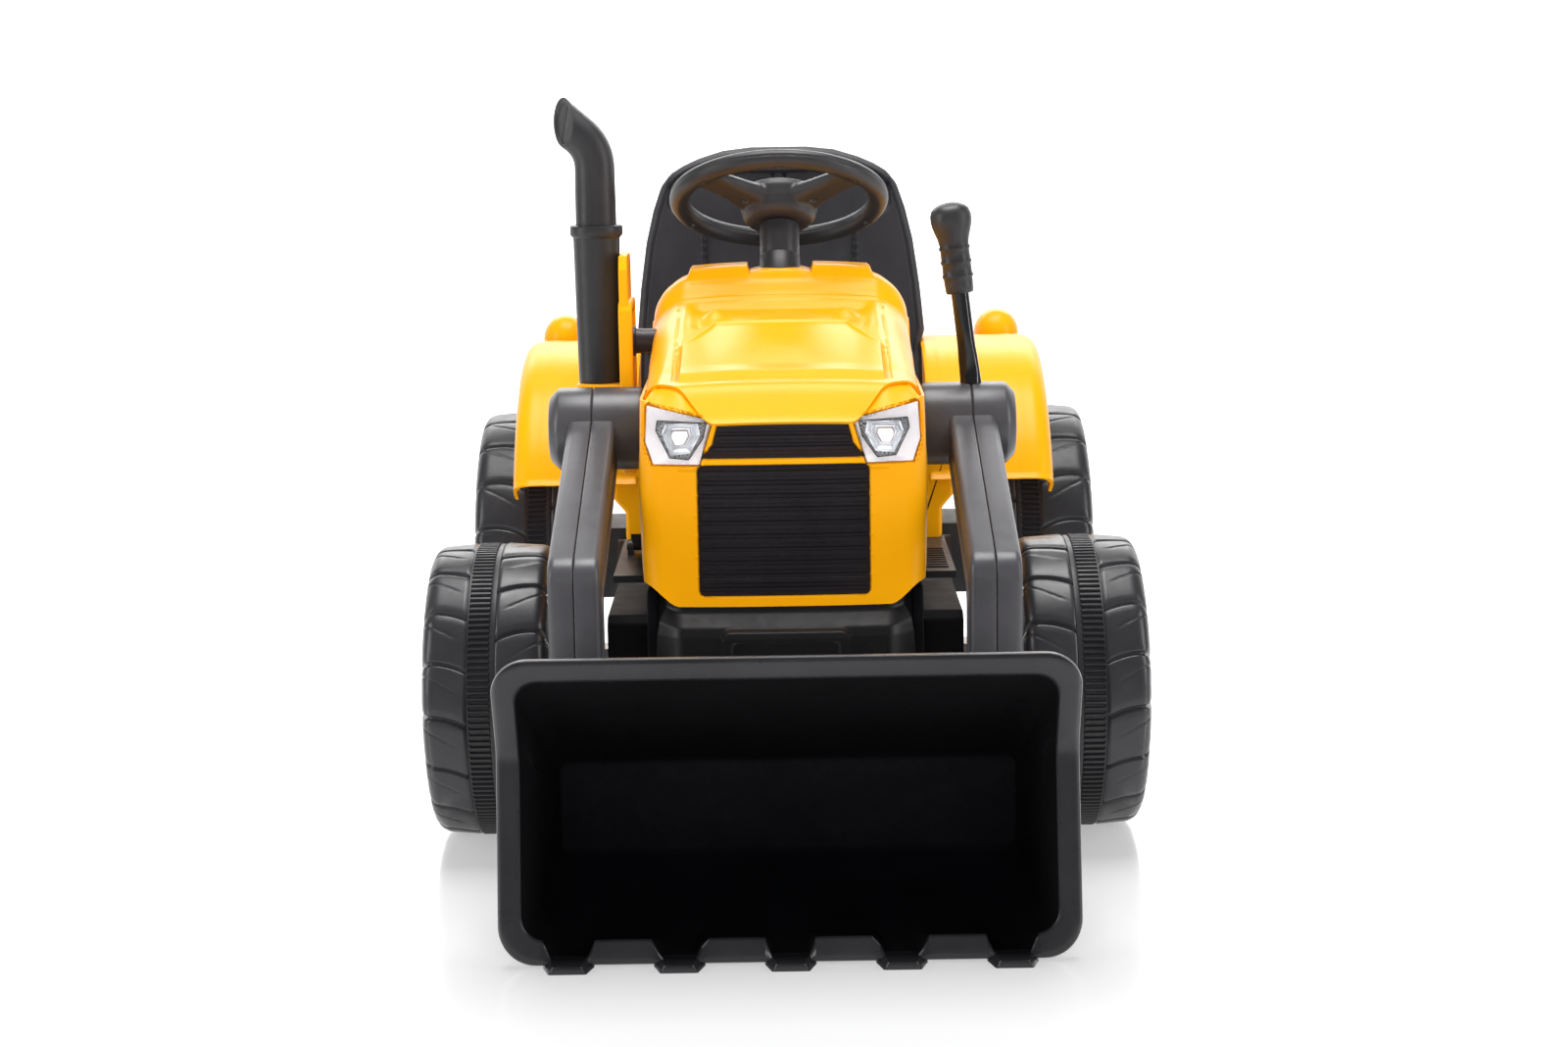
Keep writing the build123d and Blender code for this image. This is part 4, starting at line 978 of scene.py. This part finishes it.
def bucket():
    """Outer skin with a rounded rim, the cavity, the teeth and the pivot ears."""
    builder = Builder()
    skin = np.array([bucket_loop(*loop) for loop in SKIN_LOOPS])
    builder.grid(skin, wrap_cols=True)
    builder.cap(skin[0])
    for index in range(-2, 3):
        tooth(builder, index * TOOTH_PITCH)
    ear = round_path([(-374, 66), (-374, 110), (BUCKET_PIVOT_Y, 107), (-323, 99), (-319, BUCKET_PIVOT_Z),
                      (-323, 77), (BUCKET_PIVOT_Y, 69)], [2, 4, 12, 12, 12, 12, 12], 4)
    for side in (-1, 1):
        prism(builder, ear, side * 139.2, side * 150.8, 1.2)
    builder.make("bucket_shell", BUCKET_BLACK, "bucket")
    inside = Builder()
    cavity = np.array([bucket_loop(*loop) for loop in CAVITY_LOOPS])
    inside.grid(cavity, wrap_cols=True)
    inside.cap(cavity[-1])
    # The cavity takes a near-black copy of the bucket's black: painted shade inside the hollow.
    inside.make("bucket_cavity", CAVITY_SHADE_BLACK, "bucket")


def tooth(builder, x):
    """Spout-shaped tooth: a sloped block, wide behind and narrow in front."""
    sections = ((-540, 15, 20, 5.4, 1.0), (-553, 14, 20, 6.2, 0.6), (-558, 13.0, 18, 7.4, 0.2),
                (-567.5, 11.5, 15.0, 7.0, 0.1), (-569.4, 10.8, 14.0, 6.2, 0.4),
                (-569.9, 10.2, 13.2, 5.0, 1.4))
    builder.loft([[(x - wide, y, low), (x - narrow, y, top), (x + narrow, y, top), (x + wide, y, low)]
                  for y, narrow, wide, top, low in sections])


# ---- exhaust and fin ----
EXHAUST_X, EXHAUST_Y = -175.3, 30.0


def exhaust():
    """Stack with a collar, a bend and an obliquely cut mouth."""
    place = about_z(EXHAUST_X, EXHAUST_Y)
    lower = Builder()
    profile = [(388.5, 10), (388.5, 19.0), (390, 20.1), (400, 20.4), (525, 22.2), (528.4, 22.5),
               (530.2, 24.4), (531.6, 25.2), (538.4, 25.2), (539.8, 24.5), (540.4, 22.3), (540.4, 17)]
    revolve(lower, profile, 96, place)
    lower.make("exhaust_stack_lower", BLACK, "exhaust_lower", 30)
    turn, bend_r, bend_z, radius = math.radians(48.6), 39.5, 595.2, 19.0
    centres, ways = [], []
    for z, grow in ((539, 0.4), (542, 0.4), (560, 0.3), (580, 0.1), (bend_z, 0)):
        centres.append((EXHAUST_X, z, radius + grow))
        ways.append(0.0)
    for k in range(1, 15):
        t = turn * k / 14
        centres.append((EXHAUST_X - bend_r * (1 - math.cos(t)), bend_z + bend_r * math.sin(t), radius))
        ways.append(t)
    phi = turns_of(96)
    rings = []
    for (x, z, r), t in zip(centres, ways):
        rings.append(np.stack([x + r * np.cos(phi) * math.cos(t), EXHAUST_Y + r * np.sin(phi),
                               z + r * np.cos(phi) * math.sin(t)], axis=-1))
    d = np.array([-math.sin(turn), 0, math.cos(turn)])
    e1 = np.array([math.cos(turn), 0, math.sin(turn)])
    e2 = np.array([0, 1.0, 0])
    mouth = np.array([-204.0, EXHAUST_Y, 638.0])

    def cut(r, back):
        c, s = np.cos(phi)[:, None], np.sin(phi)[:, None]
        return mouth + r * (e1 * c + e2 * s - d * (-0.6 * c - 0.7 * s)) - d * back

    mouth_lip = ((0, 3.0), (0, 0.5), (0.5, 0), (2.0, 0), (2.6, 0.5), (2.8, 2.0), (3.2, 2.6))
    rings += [cut(radius - inset, back) for inset, back in mouth_lip]
    for r in (13.5, 11.0, 7.5, 4.0, 0.4):
        groove = 0.8 * np.exp(-((r * np.sin(phi)) / 1.0) ** 2)[:, None]
        rings.append(cut(r, 2.6) - d * groove)
    upper = Builder()
    upper.grid(np.array(rings), wrap_cols=True)
    upper.cap(rings[-1])
    upper.make("exhaust_stack_upper", BLACK, "exhaust_upper", 30)
    fin()


def fin():
    """Fin beside the stack, a thicker lower plate, its shelf and the stub to the hood."""
    plate = Builder()
    upper = round_path([(-17, 340), (-17, 500), (-9, 513.5), (42, 513.5), (50, 503), (50, 340)],
                       [2, 4, 3, 4, 4, 2], 5)
    prism(plate, upper, -152.6, -144.2, 1.8)
    lower = round_path([(-19, 330), (-19, 462), (-14, 470), (46, 470), (52, 462), (52, 330), (33, 304),
                        (-4, 304)], [6, 4, 3, 3, 4, 6, 8, 8], 5)
    prism(plate, lower, -153.6, -140.6, 2.2, panel=(9, 1.2))
    shelf = round_path([(-197, 8), (-153, 2), (-153, 54), (-197, 50)], [10, 1, 1, 10], 5)
    prism(plate, shelf, 381.5, 389.5, 1.8, axes=(0, 1, 2))
    plate.make("exhaust_fin", YELLOW, "exhaust_panel")
    stub = Builder()
    profile = [(-141.5, 14.5), (-139.5, 14.3), (-138.5, 12.2), (-132, 11.6), (-120, 11.6)]
    revolve(stub, profile, 60, about_x(15, 430))
    stub.make("exhaust_fin_stub", BLACK, "exhaust_panel", 30)


# ---- lever ----
LEVER_X, LEVER_LEAN = 181.0, math.radians(6.75)


def about_lever(t, a, b):
    """t is the distance up the lever from the loader's pivot height."""
    c, s = math.cos(LEVER_LEAN), math.sin(LEVER_LEAN)
    return np.stack([LEVER_X + a * c - t * s, PIVOT_Y + b, PIVOT_Z + t * c + a * s], axis=-1)


def lever():
    """Ribbed grip with a swollen knob, on a tube flattened where it meets the loader."""
    grip = Builder()
    base = 126.5
    profile = [(-4.0, 8.4), (-4.0, 11.8), (-3.2, 12.8), (3, 13.2), (7, 13.4)]
    for z in (10.0, 23.0, 36.0):
        profile += [(z, 13.5), (z + 1.0, 14.2), (z + 2.2, 14.6), (z + 3.4, 14.1), (z + 4.6, 13.6)]
    profile += [(44, 14.1), (48, 15.0), (53, 16.7), (58.5, 18.3), (64, 19.1), (69, 18.9), (73.5, 17.3),
                (77, 13.9), (79.4, 8.5), (80.2, 4), (80.5, 0.01)]
    revolve(grip, np.array(profile) + (base, 0), 96, about_lever)
    grip.make("lever_grip_moulding", BLACK, "lever_grip", 50)
    tube = Builder()
    turns = turns_of(64)
    sections = ((38, 9.8, 9.8), (40, 9.9, 9.2), (44, 9.6, 6.4), (50, 9.4, 5.6), (62, 9.0, 6.2),
                (72, 8.4, 7.6), (80, 8.25, 8.2), (90, 8.25, 8.25), (104, 8.25, 8.25), (121, 8.25, 8.25),
                (132, 8.25, 8.25))
    tube.grid(np.array([about_lever(t + 0 * turns, np.cos(turns) * wide, np.sin(turns) * deep)
                        for t, wide, deep in sections]), wrap_cols=True)
    tube.make("lift_lever_tube", GLOSS_BLACK, "lift_lever", 50)


# ---- steering wheel and column ----
RIM_R, RIM_TUBE = 97.5, 10.0
SPOKE_ANGLES = (90, -40, 220)


def steering_wheel():
    """Rim, three spokes and a flared hub bowl fused into one smooth moulding."""
    builder = Builder()
    rim = [(-0.92 * RIM_TUBE * math.cos(t), RIM_R + RIM_TUBE * math.sin(t)) for t in turns_of(40)]
    rim.append(rim[0])
    revolve(builder, rim, 200, in_steering_frame)
    bowl = [(9.0, 0.01), (9.0, 33), (7.5, 36), (2, 38), (-10, 37.5), (-18, 36.0), (-23.5, 32), (-26, 26.0),
            (-26, 0.01)]
    revolve(builder, bowl, 120, in_steering_frame)
    u = np.array([-1, -0.75, 0.75, 1, 1, 0.75, -0.75, -1])
    v = np.array([-0.4, -1, -1, -0.4, 0.4, 1, 1, 0.4])
    for turn in np.radians(SPOKE_ANGLES):
        c, s = math.cos(turn), math.sin(turn)
        rings = []
        for r, half, low, high in ((10, 21, -19, 3), (30, 20, -17, 3), (50, 16.5, -12, 3.5),
                                   (72, 14.5, -8.5, 4.5), (88, 16.5, -6.5, 5.0), (98, 19, -5.5, 5.0)):
            height = (low + high) / 2 + (high - low) / 2 * v
            rings.append(in_steering_frame(height, r * c - u * half * s, r * s + u * half * c))
        builder.loft(rings)
    raw = builder.build("steering_wheel_raw", BLACK)
    clean_normals(raw)
    fused = fuse(raw, "steering_wheel_moulding", voxel=0.0013, smooth_steps=6)
    carve_screw_wells(fused)
    finish_piece(fused, ("steering_wheel_top", "steering_wheel_back"), 180)
    pad = Builder()
    cap = [(-0.5, 29.2), (7.0, 29.2), (8.6, 28.4), (9.6, 25.5), (10.1, 19), (10.2, 17.5), (9.7, 16.8),
           (9.9, 15.8), (10.4, 14), (10.7, 0.01)]
    revolve(pad, cap, 96, in_steering_frame)
    pad.make("horn_pad_cap", BLACK, "horn_pad", 40)


def fuse(raw, name, voxel, smooth_steps):
    """Voxel union of overlapping closed shapes, then smoothed."""
    remesh = raw.modifiers.new("union", "REMESH")
    remesh.mode = "VOXEL"
    remesh.voxel_size = voxel
    relax = raw.modifiers.new("relax", "SMOOTH")
    relax.factor, relax.iterations = 0.5, smooth_steps
    graph = bpy.context.evaluated_depsgraph_get()
    mesh = bpy.data.meshes.new_from_object(raw.evaluated_get(graph))
    material = raw.data.materials[0]
    bpy.data.objects.remove(raw)
    return link_mesh(name, mesh, material)


def carve_screw_wells(piece):
    """Screw wells on the wheel's underside, and the seam along its rim."""
    mesh = piece.data
    co = np.empty(len(mesh.vertices) * 3)
    mesh.vertices.foreach_get("co", co)
    co = co.reshape(-1, 3) / MM
    c, s = math.cos(STEER_TILT), math.sin(STEER_TILT)
    rel = co - np.array(STEER_CENTRE)
    t = rel[:, 1] * s + rel[:, 2] * c
    a, b = rel[:, 0], rel[:, 1] * c - rel[:, 2] * s
    push = np.zeros(len(co))
    wells = [(r, angle) for angle in SPOKE_ANGLES for r in (44, 95)] + [(97, -90), (97, 25), (97, 155)]
    for r, angle in wells:
        turn = math.radians(angle)
        near = np.hypot(a - r * math.cos(turn), b - r * math.sin(turn))
        push += 4.5 * fall(2.0, 3.4, near) * (t < -2)
    rho = np.hypot(a, b)
    seam = 0.5 * fall(0.5, 1.3, np.abs(t)) * np.sign(rho - RIM_R) * (rho > 82)
    radial = np.stack([a, b], axis=1) / (rho[:, None] + 1e-6)
    t = t + push
    a = a - radial[:, 0] * seam
    b = b - radial[:, 1] * seam
    mesh.vertices.foreach_set("co", (in_steering_frame(t, a, b) * MM).ravel())


def column():
    """Collar where the shaft leaves the hood, stepped and lightly ringed."""
    builder = Builder()
    profile = [(-26.5, 10), (-26.5, 17.8), (-27.6, 19.0), (-30, 19.3), (-58, 19.1), (-60, 18.7),
               (-61, 19.5), (-96, 20.0), (-150, 20.0)]
    revolve(builder, profile, 96, in_steering_frame)
    builder.make("steering_column_sleeve", BLACK, "steering_column", 40)


# ---- dash ----
def dash():
    """Dash board behind the hood, shaped to the hood's rear outline, with three raised ribs."""
    half = [(118, 224), (121, 300), (121.5, 424), (117, 444), (106, 460), (88, 470), (60, 474)]
    corner = [8, 4] + [20] * 5
    outline = round_path(half + mirror_x(half), corner + corner[::-1], 5)
    builder = Builder()
    prism(builder, outline, 80.2, 84.2, 1.2, axes=(0, 2, 1))
    for z in (252, 300, 348):
        rib = round_path([(-44, z), (44, z), (44, z + 26), (-44, z + 26)], 6, 6)
        prism(builder, rib, 83.8, 86.2, 1.0, axes=(0, 2, 1))
    builder.make("dash_board", BLACK, "dash_panel")


# ---- seat ----
def pillow(builder, outline, high, low, axes):
    """Closed plate over an outline; high and low give the two faces from (u, v, distance to the edge)."""
    outline = np.asarray(outline, float)
    centre = outline.mean(axis=0)
    rhos = np.concatenate([np.linspace(0.01, 0.9, 70), 1 - 0.1 * np.linspace(1, 0, 26)[1:] ** 1.5])
    rings = []
    for face, order in ((high, rhos), (low, rhos[::-1])):
        for rho in order:
            flat = centre + (outline - centre) * rho
            u, v = flat.T
            depth = np.maximum(-polygon_distance(u, v, outline[::3]), 0) * (rho < 1)
            rings.append(on_axes(flat, face(u, v, depth), axes))
    builder.loft(rings)


def rounding(depth, radius):
    """How far a rounded edge has fallen away at a distance from the outline."""
    t = np.clip(1 - depth / radius, 0, 1)
    return radius * (1 - np.sqrt(np.clip(1 - t * t, 0, 1)))


POCKET = [(-60, 574), (60, 574), (44, 556), (30, 533), (-30, 533), (-44, 556)]


def seat_front(x, z, d):
    """Front of the backrest: raised middle, piped border, lumbar swell and the moulded pocket."""
    a = np.abs(x)
    base = np.interp(z, [330, 344, 380, 600], [322, 330, 352, 376])
    line = 82 + 38 * smooth(506, 540, z)
    wing = -6.0 * smooth(line - 1.2, line + 1.8, a)
    groove = 1.6 * bell(a - line + 2.2, 1.3)
    band = -2.0 * fall(5.0, 7.0, d) + 1.2 * bell(d - 7.8, 1.1)
    pocket = 7.0 * fall(-1.5, 1.5, polygon_distance(x, z, POCKET))
    barrel = 11.0 * np.sqrt(np.clip(1 - (x / (17 + 5 * smooth(535, 566, z))) ** 2, 0, 1))
    barrel = barrel * smooth(524, 534, z) * fall(563, 566, z)
    pins = 4.0 * fall(1.4, 2.4, np.hypot(a - 6.5, z - 570))
    lumbar = -3.0 * bell(z - 430, 34) * fall(50, 80, a)
    return base + wing + groove + band + pocket - barrel + pins + lumbar + rounding(d, 7.0)


def seat_back(x, z, d):
    """Back of the backrest, with a sunk ribbed panel."""
    base = np.interp(z, [330, 392, 600], [419, 418, 393])
    panel = 3.0 * fall(-1.5, 1.5, polygon_distance(x, z, [(-96, 430), (96, 430), (74, 560), (-74, 560)]))
    rib_pitch = 24.0
    ribs = 1.6 * fall(1.2, 2.4, off_whole(x / rib_pitch) * rib_pitch) * (panel > 2.9)
    return base - panel + ribs - rounding(d, 8.0)


def pan_top(x, y, d):
    """Sitting surface: raised bolsters, a dish, seams and cross ribs."""
    a = np.abs(x)
    bolster = 9.0 * smooth(84, 128, a) * smooth(200, 232, y)
    dish = -4.0 * fall(40, 84, a) * smooth(214, 250, y)
    line = 1.5 * bell(a - 84, 1.3) * smooth(212, 226, y)
    rib_pitch = 22
    ribs = 1.2 * bell(off_whole((y - 216) / rib_pitch) * rib_pitch, 1.3) * fall(60, 66, a)
    lip = 3.0 * bell(d - 9, 3.0)
    return 347 + bolster + dish - line - ribs * smooth(226, 236, y) + lip - rounding(d, 12.0)


def pan_low(x, y, d):
    """Flat underside of the pan."""
    return 318.6 + 0 * x


def seat():
    """Backrest and pan of the moulded seat."""
    half = [(152, 330), (152, 392), (155.5, 402), (151, 450), (144, 500), (136, 534), (127, 560), (117, 573),
            (103, 581.5), (86, 589), (60, 597), (30, 600.4)]
    corner = [10, 10, 12] + [18] * 9
    outline = resample(round_path(half + mirror_x(half), corner + corner[::-1], 5), 420, True)
    builder = Builder()
    pillow(builder, outline, seat_front, seat_back, (0, 2, 1))
    pan = round_path([(-149, 197), (149, 197), (150, 400), (-150, 400)], [26, 26, 6, 6], 8)
    pillow(builder, resample(pan, 360, True), pan_top, pan_low, (0, 1, 2))
    builder.make("seat_shell", SEAT_BLACK, "seat")


# ---- fenders and rear body ----
POD_X, POD_Y, POD_Z = 243.0, 480.0, 350.0
POD_HALF_X, POD_HALF_Y, POD_HEIGHT = 25.0, 28.0, 62.5


def fenders():
    """Arched guards with a deep rounded shoulder, and the domed lamp pod on each."""
    section = round_path([(151, 232), (151, 235), (279, 235), (279, 192), (275.6, 192), (275.6, 231.6)],
                         [0, 2, 31, 1.6, 1.4, 28], 14)
    section = resample(section, 150, True)
    turns = np.radians(np.linspace(38, 152.5, 190))
    x, radius = section[:, 0], section[:, 1]
    bead = 0.7 * bell(x - 168, 3.0) + 0.5 * bell(x - 247, 4.0)
    radius = radius + bead * (radius > 200)
    ends = np.minimum(turns - turns[0], turns[-1] - turns)[:, None] * FENDER_R
    radius = radius + 2.2 * fall(0, 7, ends) * (radius > 225)
    x = np.broadcast_to(x, radius.shape)
    y = REAR_AXLE_Y + radius * np.cos(turns)[:, None]
    z = REAR_R + radius * np.sin(turns)[:, None]
    for side, word in SIDES:
        builder = Builder()
        builder.loft(np.stack([x * side, y, z], axis=-1))
        lamp_pod(builder, side)
        node = f"rear_fender_{word}"
        builder.make(node + "_shell", YELLOW, node)


def lamp_pod(builder, side):
    """Domed pod that stands on a fender."""
    phi = turns_of(72)
    rings = []
    for t in np.concatenate([np.linspace(0, 0.85, 18), 1 - 0.15 * np.linspace(1, 0, 12)[1:] ** 2]):
        dome = math.sqrt(max(0.0, 1 - max(0.0, (t - 0.58) / 0.42) ** 2))
        grow = 1 + 0.12 * (1 - float(smooth(0, 0.34, t)))
        rings.append(np.stack([side * (POD_X + POD_HALF_X * grow * dome * np.cos(phi)),
                               POD_Y + POD_HALF_Y * grow * dome * np.sin(phi),
                               0 * phi + POD_Z + POD_HEIGHT * t], axis=-1))
    builder.grid(np.array(rings), wrap_cols=True)
    builder.cap(rings[-1], True)


def rear_body():
    """Tub under the seat with its deck, flank fairings and rear vents."""
    builder = Builder()
    outline = round_path([(190, 206.5), (190, 318), (418, 318), (421, 396), (505, 396), (556, 350),
                          (570, 306), (570, 206.5)], [4, 14, 3, 14, 24, 20, 14, 10], 7)
    prism(builder, outline, -150, 150, 9.0, steps=6)
    flank = round_path([(121, 162), (150, 162), (158, 185), (163, 210), (163, 236), (175, 250), (175, 308),
                        (121, 311)], [2, 5, 18, 14, 6, 6, 5, 2], 6)
    lid = round_path([(186, 226), (186, 300), (400, 300), (440, 226)], 14, 6)
    for side in (-1, 1):
        prism(builder, flank * (side, 1), 176, 214, 4.0, axes=(0, 2, 1))
        prism(builder, lid, side * 146, side * 151.4, 1.4)
    builder.make("rear_body_shell", YELLOW, "rear_body")
    low, high, slats = 238, 296, 7
    xx, zz = np.meshgrid(np.linspace(-58, 58, 90), np.linspace(low, high, 120))
    phase = (zz - low) / (high - low) * slats % 1.0
    vents = 2.0 * smooth(0.1, 0.35, phase) * fall(0.65, 0.9, phase)
    edge = polygon_distance(xx, zz, [(-58, low), (58, low), (58, high), (-58, high)])
    yy = 570.4 + (1.2 - vents) * (edge < -4) + 1.2 * (edge >= -4) - 2.0 * smooth(-1.2, 0, edge)
    grid_shell("rear_body_vents", np.stack([xx + 20, yy, zz], axis=-1), GRILLE_BLACK, 1, "rear_body", 40)


# ---- stage, light, camera ----
def stage():
    """Pale glossy floor in front of a glowing white backdrop."""
    floor = Nodes("pale_floor")
    floor.connect(color=floor.mix(floor.noise(2.0, 2.0), rgb(0.70, 0.70, 0.71), rgb(0.72, 0.72, 0.72)))
    floor.connect(rough=floor.ramp(floor.noise(3.0, 2.0), 0.3, 0.7, 0.13, 0.17))
    floor.set(metallic=0.3, emission=0.38, emission_color=rgb(1.0, 1.0, 1.0))
    wall = Nodes("white_wall")
    wall.connect(color=wall.mix(wall.noise(2.0, 2.0), rgb(0.8, 0.8, 0.8), rgb(0.82, 0.82, 0.82)))
    wall.connect(rough=wall.ramp(wall.noise(3.0, 2.0), 0.3, 0.7, 0.5, 0.6))
    wall.set(emission=0.98, emission_color=rgb(1.0, 1.0, 1.0))
    x = 7000
    panes = (("floor", floor, [(-x, -6000, 0), (x, -6000, 0), (x, 4200, 0), (-x, 4200, 0)]),
             ("backdrop", wall, [(-x, 4000, -100), (x, 4000, -100), (x, 4000, 3200), (-x, 4000, 3200)]))
    for name, look, corners in panes:
        new_object(name, corners, [(0, 1, 2, 3)], look.material)


def area_light(name, place, target, size, energy, glossy=True):
    """Rectangular lamp aimed at a point; glossy says whether reflections show it."""
    data = bpy.data.lights.new(name, "AREA")
    data.shape = "RECTANGLE"
    data.size, data.size_y = size
    data.energy = energy
    lamp = bpy.data.objects.new(name, data)
    lamp.visible_glossy = glossy
    lamp.location = place
    direction = Vector(target) - Vector(place)
    lamp.rotation_euler = direction.to_track_quat("-Z", "Y").to_euler()
    bpy.context.scene.collection.objects.link(lamp)


def lights():
    """Soft boxes over, behind and before the toy, strips at its sides, and a wash on the backdrop."""
    world = bpy.data.worlds.new("studio")
    bpy.context.scene.world = world
    world.use_nodes = True
    background = world.node_tree.nodes["Background"]
    background.inputs["Color"].default_value = rgb(1.0, 1.0, 1.0)
    background.inputs["Strength"].default_value = 0.16
    area_light("top_box", (0, 0.1, 2.5), (0, 0.0, 0.3), (1.7, 1.3), 62)
    area_light("back_box", (0, 2.3, 1.8), (0, 0.0, 0.4), (2.6, 0.8), 24)
    area_light("front_box", (0, -3.0, 0.95), (0, -0.2, 0.35), (2.2, 0.9), 66, False)
    area_light("left_strip", (-2.2, -0.7, 1.0), (0, 0, 0.35), (0.35, 1.6), 15)
    area_light("right_strip", (2.2, -0.7, 1.0), (0, 0, 0.35), (0.35, 1.6), 15)
    area_light("wall_wash", (0, 2.9, 2.6), (0, 4.0, 0.6), (7.0, 0.4), 60)


def camera():
    """The photograph's view: long lens from the front, slightly above and rolled."""
    data = bpy.data.cameras.new("photo_view")
    data.lens = 61.875
    data.sensor_width = 36.0
    view = bpy.data.objects.new("photo_view", data)
    pitch, roll = math.radians(9.8), math.radians(-0.9)
    view.matrix_world = (Matrix.Translation((0.0, -2.56, 0.695))
                         @ Matrix.Rotation(math.radians(90) - pitch, 4, "X")
                         @ Matrix.Rotation(roll, 4, "Z"))
    bpy.context.scene.collection.objects.link(view)
    bpy.context.scene.camera = view


for make_part in (dress_cad_nodes, camera, stage, lights, wheels, hood_top, hood_vents, hood_corners,
                  hood_skirt, grilles, headlights, bumper, arms, bucket, exhaust, lever, steering_wheel,
                  column, dash, seat, fenders, rear_body):
    make_part()

bpy.context.scene.view_settings.view_transform = "Standard"
bpy.context.view_layer.update()
